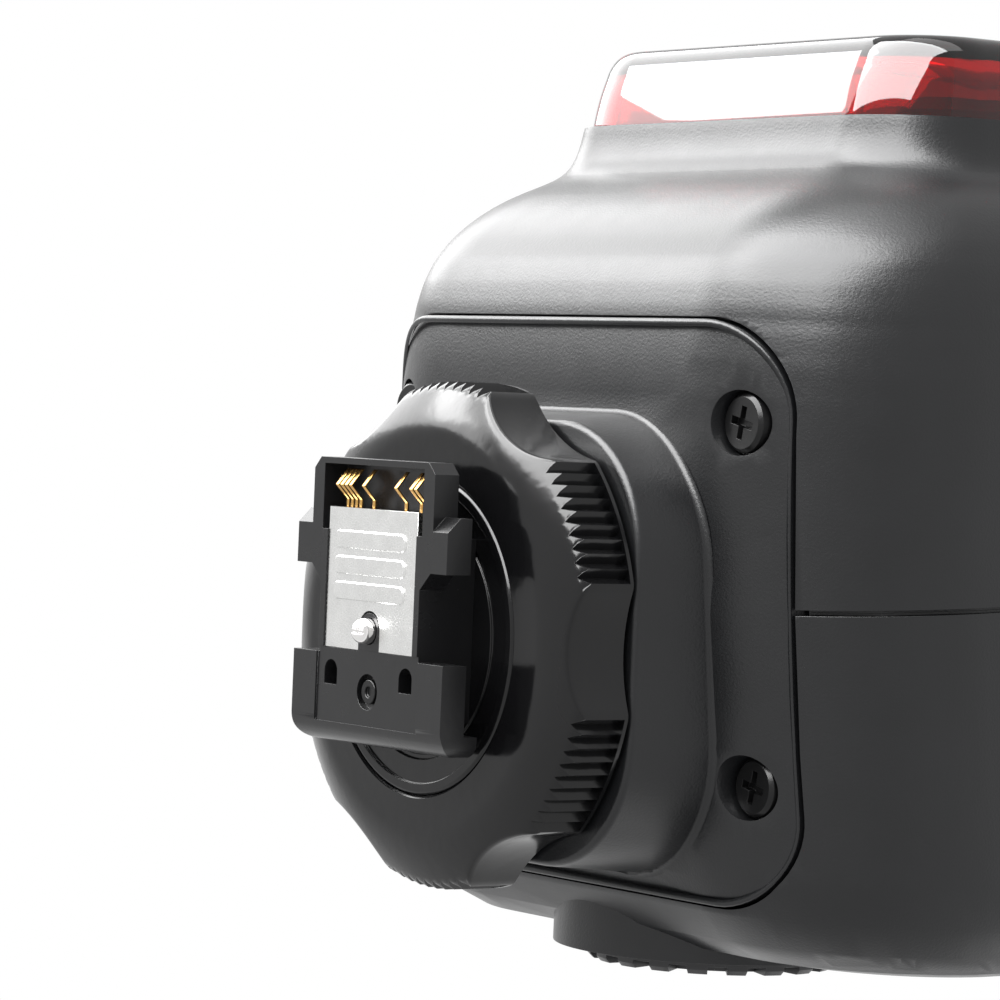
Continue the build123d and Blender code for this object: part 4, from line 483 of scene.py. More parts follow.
@dataclass
class BodyForm:
    """The body's sections, as in the model, with a fuller shoulder that meets the rim tightly.

    A section at a depth is an upright rounded rectangle. Its half width, low side, high side and
    corner run from the body's full size to the rim's by the draw-in, a share that grows along the
    shoulder.
    """

    half_width: float = 29.6
    bottom: float = 17.0
    top: float = 102.0
    corner: float = 15.0
    rake: float = 4.46
    crown: float = 1.0
    plate_middle: float = -2.6
    plate_length: float = 40.2
    shoulder_y: float = -15.0
    rim_y: float = -37.8
    rim_half_width: float = 21.4
    rim_low: float = 29.0
    rim_high: float = 80.0
    rim_corner: float = 7.5
    row_pitch: float = 0.35
    skin_start: float = 0.04
    skin_blend: float = 0.08
    skin_end: float = 0.999
    gentle_until: float = 0.36
    near_gentle: float = 0.035
    near_steep: float = 0.055
    model_curve: tuple = ((0.0, 0.0), (0.2, 0.01), (0.38, 0.06), (0.53, 0.17), (0.66, 0.38),
                          (0.77, 0.66), (0.87, 0.9), (1.0, 1.0))
    curve: tuple = ((0.0, 0.0), (0.1, 0.003), (0.2, 0.012), (0.3, 0.033), (0.38, 0.062),
                    (0.46, 0.108), (0.53, 0.168), (0.6, 0.26), (0.65, 0.348), (0.7, 0.457),
                    (0.745, 0.58), (0.785, 0.72), (0.81, 0.825), (0.84, 0.9), (0.88, 0.945),
                    (0.93, 0.975), (1.0, 1.0))

    def underside(self, y: np.ndarray) -> np.ndarray:
        """Height of the raked, crowned underside.

        Args:
            y: depths.

        Returns:
            Heights.
        """
        across = (y - self.plate_middle) / (self.plate_length / 2)
        raked = self.bottom + y * math.tan(math.radians(self.rake))
        return raked - self.crown * np.maximum(1 - across ** 2, 0)

    def face(self, x: np.ndarray, y: np.ndarray) -> np.ndarray:
        """Height of the underside with its rounded sides.

        Args:
            x: places across.
            y: depths.

        Returns:
            Heights.
        """
        past = np.maximum(np.abs(x) - (self.half_width - self.corner), 0)
        drop = np.sqrt(np.maximum(self.corner ** 2 - past ** 2, 0))
        return self.underside(y) + self.corner - drop

    def section(self, y: np.ndarray, drawn: np.ndarray) -> tuple:
        """Half width, low side, high side and corner of the sections.

        Args:
            y: depths.
            drawn: draw-ins.

        Returns:
            The four sizes.
        """
        low = self.underside(y)
        return (self.half_width + (self.rim_half_width - self.half_width) * drawn,
                low + (self.rim_low - low) * drawn, self.top + (self.rim_high - self.top) * drawn,
                self.corner + (self.rim_corner - self.corner) * drawn)

    def gap(self, points: np.ndarray, drawn: np.ndarray) -> np.ndarray:
        """Distance of points outside their section, negative inside.

        Args:
            points: places, one row each.
            drawn: draw-ins.

        Returns:
            The distances.
        """
        half, low, high, corner = self.section(points[:, 1], drawn)
        across = np.abs(points[:, 0]) - (half - corner)
        up = np.abs(points[:, 2] - (low + high) / 2) - ((high - low) / 2 - corner)
        outside = np.hypot(np.maximum(across, 0), np.maximum(up, 0))
        return outside + np.minimum(np.maximum(across, up), 0) - corner

    @staticmethod
    def drawn(curve: tuple, share: np.ndarray) -> np.ndarray:
        """Draw-in along a curve of points, smoothed between them.

        Args:
            curve: pairs of shoulder share and draw-in.
            share: shares of the way from the shoulder to the rim.

        Returns:
            The draw-ins.
        """
        fine = np.linspace(-0.2, 1.2, 561)
        at, value = np.array(curve).T
        line = np.interp(fine, at, value)
        for _ in range(3):
            line = np.convolve(np.pad(line, 6, "edge"), np.ones(13) / 13, "valid")
        return np.interp(share, fine, line)

    def reshape(self, work: bmesh.types.BMesh) -> None:
        """Cut rows into a shell's shoulder and move its outer face onto the fuller curve.

        Args:
            work: the shell's mesh, in metres.
        """
        for y in np.arange(self.rim_y + self.row_pitch, self.shoulder_y - 1.0, self.row_pitch):
            every = work.verts[:] + work.edges[:] + work.faces[:]
            bmesh.ops.bisect_plane(work, geom=every, dist=1e-7, plane_co=(0, y * MM, 0),
                                   plane_no=(0, 1, 0))
        points = np.array([v.co for v in work.verts]) / MM
        share = (points[:, 1] - self.shoulder_y) / (self.rim_y - self.shoulder_y)
        low, high = np.zeros(len(points)), np.ones(len(points)) * 1.3
        for _ in range(30):
            middle = (low + high) / 2
            outside = self.gap(points, middle) > 0
            high = np.where(outside, middle, high)
            low = np.where(outside, low, middle)
        now = (low + high) / 2
        near = np.where(share > self.gentle_until, self.near_steep, self.near_gentle)
        skin = np.abs(now - self.drawn(self.model_curve, share)) < near
        skin &= (share > self.skin_start) & (share < self.skin_end)
        blend = np.clip((share - self.skin_start) / self.skin_blend, 0, 1)
        then = now + (self.drawn(self.curve, share) - now) * blend
        half, down, up, corner = self.section(points[:, 1], now)
        half2, down2, up2, corner2 = self.section(points[:, 1], then)
        middle_x = np.clip(points[:, 0], -(half - corner), half - corner)
        middle_z = np.clip(points[:, 2], down + corner, up - corner)
        share_x = middle_x / (half - corner)
        share_z = (middle_z - down - corner) / (up - down - 2 * corner)
        new = points.copy()
        new[:, 0] = share_x * (half2 - corner2)
        new[:, 0] += (points[:, 0] - middle_x) * corner2 / corner
        new[:, 2] = down2 + corner2 + share_z * (up2 - down2 - 2 * corner2)
        new[:, 2] += (points[:, 2] - middle_z) * corner2 / corner
        for vertex, place, chosen in zip(work.verts, new, skin):
            if chosen:
                vertex.co = place * MM
        LOG.info("shoulder: %d of %d points moved", int(skin.sum()), len(points))


def dressed_copy(node: str, material: bpy.types.Material, body: str,
                 bevel: float = 0.2, crease: float = 32.0,
                 reshape: Callable[[bmesh.types.BMesh], None] | None = None) -> bpy.types.Object:
    """Copy a model node, weld its triangles, soften its hard edges and let the copy stand for it.

    Args:
        node: the model's node.
        material: the copy's finish.
        body: its body.
        bevel: width of the softened edges, in millimetres.
        crease: angle from which an edge counts as hard, in degrees.
        reshape: moves points of the copy's mesh, if given.

    Returns:
        The new object.
    """
    source = bpy.data.objects[node].data.copy()
    work = bmesh.new()
    work.from_mesh(source)
    bmesh.ops.remove_doubles(work, verts=work.verts, dist=COPY_WELD_MM * MM)
    bmesh.ops.dissolve_degenerate(work, edges=work.edges, dist=0.001 * MM)
    bmesh.ops.dissolve_limit(work, angle_limit=math.radians(COPY_FLAT_DEG), verts=work.verts,
                             edges=work.edges)
    if reshape:
        reshape(work)
    work.to_mesh(source)
    work.free()
    piece = finish_piece(node + "_skin", source, material, body, crease, COPY_WELD_MM)
    if bevel:
        soft = piece.modifiers.new("soft_edges", "BEVEL")
        soft.width = bevel * MM
        soft.segments = 2
        soft.limit_method = "ANGLE"
        soft.angle_limit = math.radians(crease)
        soft.harden_normals = False
        soft.use_clamp_overlap = True
        if not reshape:
            flat = piece.modifiers.new("flat_faces", "WEIGHTED_NORMAL")
            flat.keep_sharp = True
    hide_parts(node)
    return piece


# Studio


@dataclass(frozen=True)
class Aim:
    """Place of a lamp on a sphere round the object, in degrees and metres."""

    azimuth: float
    elevation: float
    distance: float
    roll: float = 0.0

    def matrix(self) -> Matrix:
        """Where the lamp stands.

        Returns:
            Its world matrix, facing the origin and rolled about its own axis.
        """
        turn, rise = math.radians(self.azimuth), math.radians(self.elevation)
        flat = math.cos(rise)
        way = Vector((math.cos(turn) * flat, math.sin(turn) * flat, math.sin(rise)))
        facing = (-way).to_track_quat("-Z", "Y").to_matrix().to_4x4()
        rolled = Matrix.Rotation(math.radians(self.roll), 4, "Z")
        return Matrix.Translation(way * self.distance) @ facing @ rolled


@dataclass(frozen=True)
class Lamp:
    """Area lamp that faces the object and that the camera doesn't see, in metres and watts."""

    name: str
    aim: Aim
    width: float
    height: float
    watts: float
    lights_matt: bool = True

    def build(self) -> None:
        """Add the lamp. Where it lights no matt surface, it shows in gloss alone."""
        light = bpy.data.lights.new(self.name, "AREA")
        light.shape = "RECTANGLE"
        light.size, light.size_y, light.energy = self.width, self.height, self.watts
        lamp = bpy.data.objects.new(self.name, light)
        lamp.matrix_world = self.aim.matrix()
        lamp.visible_camera = False
        lamp.visible_diffuse = self.lights_matt
        bpy.context.scene.collection.objects.link(lamp)


@dataclass
class Studio:
    """Floor, lamps, world and camera."""

    camera_place: tuple = (0.25446, -0.01617, -0.17078)
    camera_back: tuple = (0.81376, -0.02099, -0.58083)
    camera_up: tuple = (-0.04131, -0.99891, -0.02177)
    lens: float = 158.76
    floor_z: float = -0.62
    floor_half: float = 4.0
    floor_glow: float = 0.45
    ambient: float = 0.5

    def build(self) -> None:
        """Make the whole studio."""
        self.floor()
        self.world()
        for lamp in self.lamps():
            lamp.build()
        self.camera()
        bpy.context.scene.view_settings.view_transform = "Standard"

    @staticmethod
    def lamps() -> list[Lamp]:
        """Soft boxes for every surface, and sheens that show in gloss alone.

        Returns:
            The lamps. A soft box stands just behind the sheen that shares its place.
        """
        right, left = Aim(-91, -32, 0.5), Aim(-146, -10, 0.5, roll=12)
        return [
            Lamp("softbox_right", replace(right, distance=0.51), 0.72, 0.52, watts=1.6),
            Lamp("sheen_right", right, 0.72, 0.52, watts=17.0, lights_matt=False),
            Lamp("softbox_left", replace(left, distance=0.51), 0.34, 0.60, watts=0.8),
            Lamp("sheen_left", left, 0.34, 0.60, watts=2.9, lights_matt=False),
            Lamp("sheen_window", Aim(-146, -23, 0.49, roll=-30), 0.10, 0.20, watts=0.7,
                 lights_matt=False),
            Lamp("softbox_front", Aim(-85, 2, 0.7), 0.70, 0.30, watts=1.6),
            Lamp("softbox_rear", Aim(67, 40, 0.8), 0.40, 0.40, watts=0.3),
        ]

    def floor(self) -> None:
        """Plain pale floor, white to the camera and in reflections."""
        nodes = MaterialNodes("floor_pale")
        shader = nodes.add("ShaderNodeBsdfDiffuse", Color=(0.82, 0.82, 0.82, 1))
        glow = nodes.add("ShaderNodeEmission", Color=(1, 1, 1, 1), Strength=self.floor_glow)
        both = nodes.add("ShaderNodeAddShader")
        plain = nodes.add("ShaderNodeMixShader")
        seen = self.seen(nodes)
        nodes.join(shader.outputs[0], both.inputs[0])
        nodes.join(glow.outputs[0], both.inputs[1])
        nodes.join(seen, plain.inputs[0])
        nodes.join(shader.outputs[0], plain.inputs[1])
        nodes.join(both.outputs[0], plain.inputs[2])
        nodes.join(plain.outputs[0], nodes.output.inputs["Surface"])
        mesh = bpy.data.meshes.new("floor")
        half = self.floor_half
        corners = [(-half, -half, self.floor_z), (half, -half, self.floor_z),
                   (half, half, self.floor_z), (-half, half, self.floor_z)]
        mesh.from_pydata(corners, [], [(0, 1, 2, 3)])
        mesh.materials.append(nodes.material)
        floor = bpy.data.objects.new("floor", mesh)
        bpy.context.scene.collection.objects.link(floor)

    @staticmethod
    def seen(nodes: Nodes) -> Socket:
        """One where the ray comes from the camera, a reflection or a clear piece.

        Args:
            nodes: the node helper of the material or world.

        Returns:
            The value.
        """
        path = nodes.add("ShaderNodeLightPath")
        first = nodes.add("ShaderNodeMath", operation="MAXIMUM")
        second = nodes.add("ShaderNodeMath", operation="MAXIMUM")
        nodes.join(path.outputs["Is Camera Ray"], first.inputs[0])
        nodes.join(path.outputs["Is Glossy Ray"], first.inputs[1])
        nodes.join(first.outputs[0], second.inputs[0])
        nodes.join(path.outputs["Is Transmission Ray"], second.inputs[1])
        return second.outputs[0]

    def world(self) -> None:
        """White surround for the camera and reflections, plain soft light for the rest."""
        world = bpy.data.worlds.new("surround")
        bpy.context.scene.world = world
        world.use_nodes = True
        nodes = Nodes(world.node_tree)
        output = nodes.add("ShaderNodeOutputWorld")
        soft = nodes.add("ShaderNodeBackground", Color=(1, 1, 1, 1), Strength=self.ambient)
        white = nodes.add("ShaderNodeBackground", Color=(1, 1, 1, 1), Strength=1.0)
        mix = nodes.add("ShaderNodeMixShader")
        nodes.join(self.seen(nodes), mix.inputs[0])
        nodes.join(soft.outputs[0], mix.inputs[1])
        nodes.join(white.outputs[0], mix.inputs[2])
        nodes.join(mix.outputs[0], output.inputs["Surface"])

    def camera(self) -> None:
        """Camera at the photograph's angle."""
        data = bpy.data.cameras.new("camera")
        data.sensor_width = 36.0
        data.lens = self.lens
        data.clip_start, data.clip_end = 0.01, 20.0
        camera = bpy.data.objects.new("camera", data)
        back, up = Vector(self.camera_back).normalized(), Vector(self.camera_up)
        right = up.cross(back).normalized()
        up = back.cross(right)
        turn = Matrix((right, up, back)).transposed().to_4x4()
        camera.matrix_world = Matrix.Translation(self.camera_place) @ turn
        bpy.context.scene.collection.objects.link(camera)
        bpy.context.scene.camera = camera


# Sub-assemblies


@dataclass
class Trim:
    """Nodes of the model that keep their shape and get softened edges or a finish alone."""

    finishes: Palette
    where: dict[str, str]

    def copy(self, node: str, finish: str, bevel: float = 0.2,
             reshape: Callable[[bmesh.types.BMesh], None] | None = None) -> None:
        """Stand a softened copy in for a node.

        Args:
            node: its name.
            finish: its finish's name.
            bevel: edge width in millimetres.
            reshape: moves points of the copy's mesh, if given.
        """
        dressed_copy(node, self.finishes[finish], self.where[node], bevel,
                     reshape=reshape)

    def paint(self, listed: dict[str, str]) -> None:
        """Give a finish to each listed node and leave its mesh alone.

        Args:
            listed: node name to finish name.
        """
        for node, finish in listed.items():
            mesh = bpy.data.objects[node].data
            mesh.materials.clear()
            mesh.materials.append(self.finishes[finish])


@dataclass
class LockRing:
    """Turning ring as one polar surface: domed face, rounded scallops, V-cut teeth, plain rim.

    At each angle the outer radius is the lesser of the ring's circle and the scallop's circle,
    blended softly, less the tooth groove. The profile then runs from the bore over the face and
    dome, round the edge, down the wall, out to the rim, over the back and up the bore.
    """

    finishes: Palette
    radius: float = 17.86
    bore: float = 11.3
    lip_bore: float = 9.8
    face_z: float = 4.35
    lip_z: float = 5.5
    rear_z: float = 10.06
    face_radius: float = 13.6
    rise: float = 1.35
    edge_break: float = 0.5
    lobes: int = 6
    scallop_floor: float = 16.4
    scallop_radius: float = 11.0
    teeth: int = 9
    pitch: float = 3.35
    depth: float = 0.62
    rim: float = 0.4
    scallop_round: float = 0.55
    tooth_round: float = 0.07
    scallop_blend: float = 0.09
    share_degrees: float = 1.2
    face_rise: float = 0.1
    dome_power: float = 1.8
    bore_break: float = 0.15
    rear_break: float = 0.12
    edge_lean: float = 30.0

    def angles(self) -> np.ndarray:
        """Angles of the grid, close together on the teeth.

        Returns:
            Angles in degrees, rising once round.
        """
        half = self.teeth * self.pitch / 2
        toothed = np.linspace(-half, half, self.teeth * 4 + 1)
        gap = 360 / self.lobes - 2 * half
        plain = half + gap * np.linspace(0, 1, 30)[1:-1]
        one = np.concatenate([toothed, plain])
        return np.concatenate([-90 + lobe * 360 / self.lobes + one for lobe in range(self.lobes)])

    def outline(self, angles: np.ndarray) -> tuple[np.ndarray, np.ndarray, np.ndarray]:
        """Outer radius at each angle.

        Args:
            angles: the grid's angles in degrees.

        Returns:
            The plain radius, the radius with the teeth, and the share of scallop.
        """
        step = 360 / self.lobes
        off = (angles + 90 + step / 2) % step - step / 2
        from_scallop = np.radians(step / 2 - np.abs(off))
        centre = self.scallop_floor + self.scallop_radius
        across = centre * np.sin(from_scallop)
        under = np.sqrt(np.maximum(self.scallop_radius ** 2 - across ** 2, 0.01))
        hollow = np.where(across < self.scallop_radius, centre * np.cos(from_scallop) - under,
                          self.radius + 4)
        soft = self.scallop_blend
        least = np.minimum(hollow, self.radius)
        plain = least - soft * np.log1p(np.exp(-np.abs(hollow - self.radius) / soft))
        half = self.teeth * self.pitch / 2
        phase = ((off + half) / self.pitch) % 1.0
        groove = self.depth * (1 - np.abs(2 * phase - 1))
        toothed = np.where(np.abs(off) < half, plain - groove, plain)
        share = np.clip((np.abs(off) - half) / self.share_degrees, 0, 1)
        return plain, toothed, share

    def dome(self, radius: np.ndarray) -> np.ndarray:
        """Height of the turned face at a radius.

        Args:
            radius: distances from the axis.

        Returns:
            Heights along the axis.
        """
        edge = self.radius - self.edge_break
        share = np.clip((radius - self.face_radius) / (edge - self.face_radius), 0, 1)
        over = np.clip(radius - edge, 0, None)
        rise = (self.rise - self.face_rise) * share ** self.dome_power
        return self.face_z + self.face_rise + rise + over + over ** 2

    def build(self) -> None:
        """Make the ring in the model's ring's stead."""
        angles = self.angles()
        plain, toothed, share = self.outline(angles)
        round_edge = self.tooth_round + (self.scallop_round - self.tooth_round) * share
        lean = math.radians(self.edge_lean)
        start = toothed - round_edge * (1 - math.sin(lean))
        edge = np.minimum(start, self.radius - self.edge_break)
        ones = np.ones_like(angles)
        rows = [(self.bore * ones, (self.face_z + self.bore_break) * ones),
                ((self.bore + self.bore_break) * ones, self.face_z * ones)]
        for part in np.linspace(0.15, 1, 4):
            radius = self.bore + (self.face_radius - self.bore) * part
            rows.append((radius * ones, (self.face_z + self.face_rise * part) * ones))
        for part in np.linspace(0, 1, 13)[1:]:
            radius = self.face_radius + (edge - self.face_radius) * part
            rows.append((radius, self.dome(radius)))
        for part in (0.34, 0.67, 1.0):
            radius = edge + (start - edge) * part
            rows.append((radius, self.dome(radius)))
        middle = self.dome(start) + round_edge * math.cos(lean)
        for turn in np.linspace(lean, math.pi / 2, 6)[1:]:
            rows.append((toothed - round_edge * (1 - math.sin(turn)),
                         middle - round_edge * math.cos(turn)))
        top = self.rear_z - self.rim
        rows += [(toothed, middle + (top - middle) * part) for part in (0.33, 0.67, 1.0)]
        rows += [(plain, top * ones), (plain, (self.rear_z - self.rear_break) * ones),
                 (plain - self.rear_break, self.rear_z * ones)]
        rows += [(self.lip_bore * ones, self.rear_z * ones),
                 (self.lip_bore * ones, self.lip_z * ones), (self.bore * ones, self.lip_z * ones)]
        radius, height = (np.stack([row[i] for row in rows]) for i in (0, 1))
        turn = np.radians(angles)
        points = np.stack([radius * np.cos(turn), radius * np.sin(turn), height], -1).reshape(-1, 3)
        faces = grid_faces(len(rows), len(angles), round_rows=True, round_columns=True)
        ring = new_piece("lock_ring_body", points, faces, self.finishes["ring_black"], Body.RING,
                         crease=38, weld=1e-3)
        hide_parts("lock_ring")


def rounded_outline(half_x: float, half_y: float, corner: float, steps: int = 10) -> np.ndarray:
    """Points round a rounded rectangle about the origin, with their outward directions.

    Args:
        half_x: half its width.
        half_y: half its height.
        corner: its corner radius.
        steps: pieces of each corner.

    Returns:
        Rows of x, y, outward x and outward y.
    """
    rows = []
    for quarter in range(4):
        side_x, side_y = (1, -1, -1, 1)[quarter], (1, 1, -1, -1)[quarter]
        for step in range(steps + 1):
            turn = math.radians(90 * (quarter + step / steps))
            out = (math.cos(turn), math.sin(turn))
            rows.append((side_x * (half_x - corner) + corner * out[0],
                         side_y * (half_y - corner) + corner * out[1], *out))
    return np.array(rows)


@dataclass
class Pedestal:
    """Pedestal's outer face: round-edged, flared, with a fillet where it meets the plate."""

    finishes: Palette
    form: BodyForm
    half_width: float = 17.1
    front: float = -15.5
    rear: float = 15.6
    corner: float = 9.6
    top_z: float = 10.33
    edge: float = 0.5
    flare: float = 0.55
    fillet: float = 0.45
    foot_gap: float = 0.03
    model_half_length: float = 16.45
    wall_cover: float = 0.5
    wall_share_x: float = 0.985
    wall_from: float = 12.0
    wall_rise: float = 0.6
    top_gap: float = 0.04

    def build(self) -> None:
        """Make the face over the model's pedestal."""
        outline = rounded_outline(self.half_width, (self.rear - self.front) / 2, self.corner, 14)
        middle = (self.rear + self.front) / 2
        profile = [(-7.0, self.top_z, 0.0), (-4.0, self.top_z, 0.0),
                   (-self.edge - 0.6, self.top_z, 0.0)]
        profile += [(-self.edge * (1 - math.sin(a)), self.top_z + self.edge * (1 - math.cos(a)),
                     0.0) for a in np.linspace(0.0, math.pi / 2, 9)]
        profile += [(self.flare * t, self.top_z + self.edge, t) for t in (0.25, 0.5, 0.75)]
        profile += [(self.flare + self.fillet * (1 - math.cos(a)),
                     self.fillet * (math.sin(a) - 1), 1.0) for a in np.linspace(0, math.pi / 2, 9)]
        rows = []
        for grow, height, along in profile:
            x = outline[:, 0] + outline[:, 2] * grow
            y = outline[:, 1] + outline[:, 3] * grow + middle
            foot = self.form.face(x, y) + self.foot_gap
            if along == 1.0:
                z = foot + height
            else:
                z = height + (foot - self.fillet - height) * along
            rows.append(np.stack([x, y, z], -1))
        grid = np.stack(rows)
        faces = grid_faces(len(rows), grid.shape[1], round_columns=True)
        new_piece("pedestal_face", grid.reshape(-1, 3), faces, self.finishes["shell_charcoal"],
                  Body.FLASH)

    def draw_in(self, work: bmesh.types.BMesh) -> None:
        """Draw the plate copy's own pedestal walls in behind the new face.

        Args:
            work: the plate's mesh, in metres.
        """
        share = (self.rear - self.front - self.wall_cover) / 2 / self.model_half_length
        for vertex in work.verts:
            x, y, z = vertex.co / MM
            on_wall = z < float(self.form.underside(np.array(y))) - self.wall_rise
            if on_wall and max(abs(x), abs(y)) > self.wall_from:
                height = max(z, self.top_z + self.top_gap)
                vertex.co = Vector((x * self.wall_share_x, y * share, height)) * MM


@dataclass
class PlateEdge:
    """Thin rounded bead along the base plate's edge, part of a circle swept round it."""

    finishes: Palette
    form: BodyForm
    half_width: float = 23.4
    front: float = -22.7
    rear: float = 17.5
    corner: float = 6.6
    radius: float = 0.3
    inset: float = 0.18
    probe: float = 0.1

    def build(self) -> None:
        """Make the bead on the plate."""
        outline = rounded_outline(self.half_width, (self.rear - self.front) / 2, self.corner, 14)
        extra = [outline[i] * (1 - t) + outline[(i + 1) % len(outline)] * t
                 for i in range(len(outline)) for t in np.linspace(0, 1, 8)[:-1]]
        outline = np.array(extra)
        out = np.stack([outline[:, 2], outline[:, 3], 0 * outline[:, 2]], -1)
        out /= np.linalg.norm(out, axis=1)[:, None]
        x, y = outline[:, 0], outline[:, 1] + (self.rear + self.front) / 2
        edge = np.stack([x, y, self.form.face(x, y)], -1)
        inner = self.form.face(x - self.probe * out[:, 0], y - self.probe * out[:, 1])
        slope = (edge[:, 2] - inner) / self.probe
        normal = out * slope[:, None] + np.array([0, 0, -1])
        normal /= np.linalg.norm(normal, axis=1)[:, None]
        middle = edge - (out + normal) * self.inset
        rows = [middle + self.radius * (math.sin(turn) * out + math.cos(turn) * normal)
                for turn in np.radians(np.linspace(-50, 110, 13))]
        grid = np.stack(rows)
        faces = grid_faces(len(rows), grid.shape[1], round_columns=True)
        new_piece("plate_bead", grid.reshape(-1, 3), faces, self.finishes["shell_charcoal"],
                  Body.FLASH)


@dataclass
class RedWindow:
    """Red cover as a hollow cap: sides that lean and curve in, a tight edge, a crowned front."""

    finishes: Palette
    form: BodyForm
    inset: float = 0.45
    depth: float = 5.9
    wall: float = 1.7
    lean: float = 1.5
    lean_low: float = 10.0
    bend: float = 12.0
    edge: float = 2.1
    crown: float = 0.4
    skirt: float = 1.8
    side_steps: int = 14

    def profile(self, wall: float, upright: np.ndarray) -> list[tuple[np.ndarray, float]]:
        """Draw-in and depth from the rim to the front edge.

        Args:
            wall: how far inside the outer face it runs.
            upright: how much each place of the outline faces up or down, as a share.

        Returns:
            Pairs of draw-ins and depth.
        """
        rows = [(wall + 0 * upright, -self.skirt), (wall + 0 * upright, 0.0)]
        sides = self.depth - self.edge - wall
        drawn = wall
        steps = self.side_steps
        first = self.lean + self.lean_low * upright
        for step in range(steps):
            part = (step + 0.5) / steps
            drawn = drawn + np.tan(np.radians(first + self.bend * part ** 1.3)) * sides / steps
            rows.append((drawn, sides * (step + 1) / steps))
        start = np.radians(first + self.bend)
        for part in np.linspace(0, 1, 9)[1:]:
            turn = start + (math.pi / 2 - start) * part
            forward = self.edge * (np.sin(turn) - np.sin(start)) / (1 - np.sin(start))
            rows.append((drawn + self.edge * (np.cos(start) - np.cos(turn)), sides + forward))
        return rows

    def cap(self, wall: float) -> np.ndarray:
        """Grid of one face of the cap, closed at the middle of its front.

        Args:
            wall: how far inside the outer face it lies.

        Returns:
            Points by profile row and place round the outline.
        """
        half = self.form.rim_half_width - self.inset
        low, high = self.form.rim_low + self.inset, self.form.rim_high - self.inset
        outline = rounded_outline(half, (high - low) / 2, self.form.rim_corner, 12)
        middle = (low + high) / 2
        rows = []
        for drawn, depth in self.profile(wall, outline[:, 3] ** 2):
            rows.append(np.stack([outline[:, 0] - outline[:, 2] * drawn,
                                  self.form.rim_y - depth + 0 * outline[:, 0],
                                  outline[:, 1] - outline[:, 3] * drawn + middle], -1))
        last = rows[-1]
        for part in (0.8, 0.55, 0.3, 0.1, 0.004):
            rise = self.crown * (1 - part ** 2)
            rows.append(np.stack([last[:, 0] * part, last[:, 1] - rise,
                                  (last[:, 2] - middle) * part + middle], -1))
        return np.stack(rows)

    def build(self) -> None:
        """Make the cap and let it stand for the model's window."""
        outer, inner = self.cap(0.0), self.cap(self.wall)
        rows, columns = outer.shape[:2]
        points = np.concatenate([outer.reshape(-1, 3), inner.reshape(-1, 3)])
        faces = [grid_faces(rows, columns, round_columns=True),
                 grid_faces(rows, columns, round_columns=True, start=rows * columns)[:, ::-1]]
        column = np.arange(columns)
        after = (column + 1) % columns
        first = rows * columns
        faces.append(np.stack([column, after, after + first, column + first], -1))
        cap = new_piece("window_cover", points, np.concatenate(faces),
                        self.finishes["filter_red"], Body.FLASH, crease=60)
        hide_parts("red_window")


@dataclass
class LockPin:
    """Round-tipped steel pin with a driver slot, as a height over a disc above a stem."""

    finishes: Palette
    radius: float = 0.9
    middle_y: float = -0.24
    tip_z: float = -1.2
    arm_z: float = 7.0
    arm_thick: float = 1.0
    arm_width: float = 3.0
    arm_reach: float = 10.9
    slot: float = 0.15
    slot_depth: float = 0.4
    slot_side: float = 0.04

    def build(self) -> None:
        """Make the pin with its cross arm and let it stand for the model's pin."""
        rings, columns = 22, 72
        radius = self.radius * np.sin(np.linspace(0.001, math.pi / 2, rings))
        turn = np.arange(columns) * 2 * math.pi / columns
        x, y = radius[:, None] * np.cos(turn), radius[:, None] * np.sin(turn)
        dome = self.tip_z + self.radius - np.sqrt(np.maximum(self.radius ** 2 - x ** 2 - y ** 2, 0))
        cut = np.clip((self.slot + self.slot_side / 2 - np.abs(y)) / self.slot_side, 0, 1)
        floor = dome * (1 - cut) + (self.tip_z + self.slot_depth) * cut
        z = np.where(cut > 0, np.maximum(dome, floor), dome)
        x, y = np.vstack([x, x[-1:]]), np.vstack([y, y[-1:]])
        z = np.vstack([z, np.full((1, columns), self.arm_z)])
        points = np.stack([x, y + self.middle_y, z], -1).reshape(-1, 3)
        faces = grid_faces(rings + 1, columns, round_columns=True).tolist()
        corners = [(i, j, k) for i in (-1, 1) for j in (-1, 1) for k in (0, 1)]
        arm = [(i * self.arm_width / 2, j * self.arm_reach, self.arm_z + k * self.arm_thick)
               for i, j, k in corners]
        first = len(points)
        faces += [[first + n for n in face] for face in
                  ((0, 1, 3, 2), (4, 6, 7, 5), (0, 4, 5, 1), (2, 3, 7, 6), (0, 2, 6, 4),
                   (1, 5, 7, 3))]
        pin = new_piece("lock_pin_body", np.concatenate([points, arm]), faces,
                        self.finishes["pin_chrome"], Body.PIN, crease=50,
                        weld=1e-5)
        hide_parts("lock_pin")


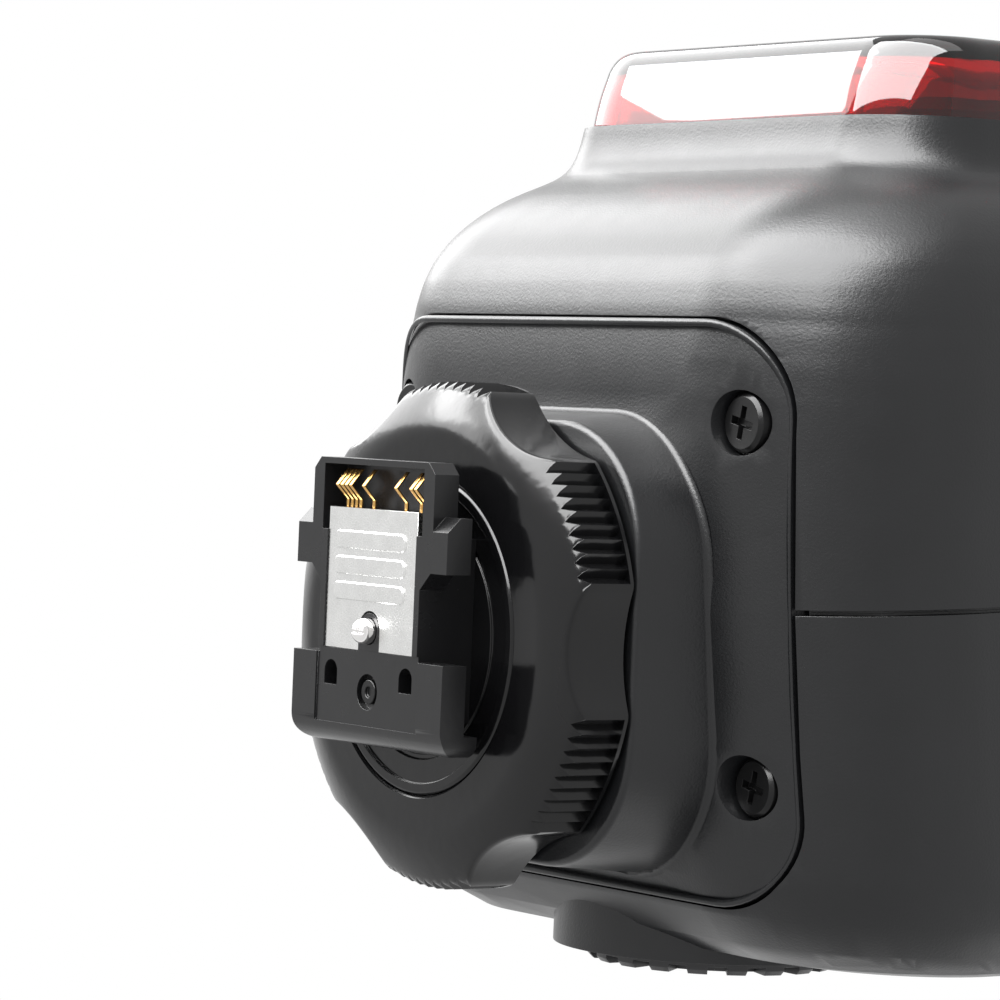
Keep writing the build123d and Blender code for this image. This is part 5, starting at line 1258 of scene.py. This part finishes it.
def main() -> None:
    """Build every piece in order."""
    logging.basicConfig(level=logging.INFO, format="%(message)s")
    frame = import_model()
    finishes = Palette()
    bodies = frame["record"]["behaviour"]["bodies"]
    where = {node: body for body, nodes in bodies.items() for node in nodes}
    Studio().build()

    form = BodyForm()
    pedestal = Pedestal(finishes, form)
    LockRing(finishes).build()
    LockPin(finishes).build()
    pedestal.build()
    PlateEdge(finishes, form).build()
    RedWindow(finishes, form).build()
    trim = Trim(finishes, where)
    trim.copy("front_shell", "shell_charcoal", reshape=form.reshape)
    trim.copy("base_plate", "shell_charcoal", 0.35, reshape=pedestal.draw_in)
    softened = {
        "shoe_foot": ("foot_black", 0.12),
        "contact_plate": ("plate_satin", 0.05),
        "contact_springs": ("spring_gold", 0.03),
        "foot_screw": ("screw_black", 0.05),
        "foot_flange": ("ring_black", 0.08),
        "base_screws": ("screw_black", 0.08),
        "rear_shell": ("shell_charcoal", 0.2),
        "dial_ring": ("dial_black", 0.15),
        **dict.fromkeys(("set_button", "mode_button", "test_button"), ("key_black", 0.1)),
        "power_switch": ("key_black", 0.12),
        **{f"soft_key_{number}": ("key_black", 0.1) for number in range(1, 5)},
        "battery_pack": ("shell_charcoal", 0.2),
        "battery_latch": ("key_black", 0.12),
        "port_cover": ("soft_rubber", 0.15),
        "swivel_base": ("shell_charcoal", 0.15),
        "neck": ("shell_charcoal", 0.3),
        "head_lower_shell": ("shell_charcoal", 0.15),
        "head_upper_shell": ("shell_charcoal", 0.15),
        "head_bezel": ("dial_black", 0.2),
        "pivot_cap": ("dial_black", 0.1),
        "release_button": ("key_black", 0.15),
        "sync_socket": ("steel", 0.1),
        "bounce_card": ("card_white", 0.08),
    }
    for node, (finish, bevel) in softened.items():
        trim.copy(node, finish, bevel)
    trim.paint({
        "window_lamps": "inner_black", "lcd_window": "screen_cover", "lcd_panel": "screen_face",
        "battery_bay": "inner_black", "battery_terminals": "spring_gold", "usb_socket": "steel",
        "circuit_board": "board_green", "main_capacitor": "sleeve_dark",
        "swivel_retainer": "inner_black", "tilt_axle": "steel", "head_screws": "screw_black",
        "fresnel_lens": "lens_clear",
        "wide_panel": "lens_clear", "card_tray": "inner_black", "reflector": "mirror_bright",
        "flash_tube": "lens_clear", "zoom_carriage": "inner_black", "guide_rods": "steel",
        "zoom_motor": "steel", "lead_screw": "spring_gold",
    })


if __name__ == "__main__":
    main()
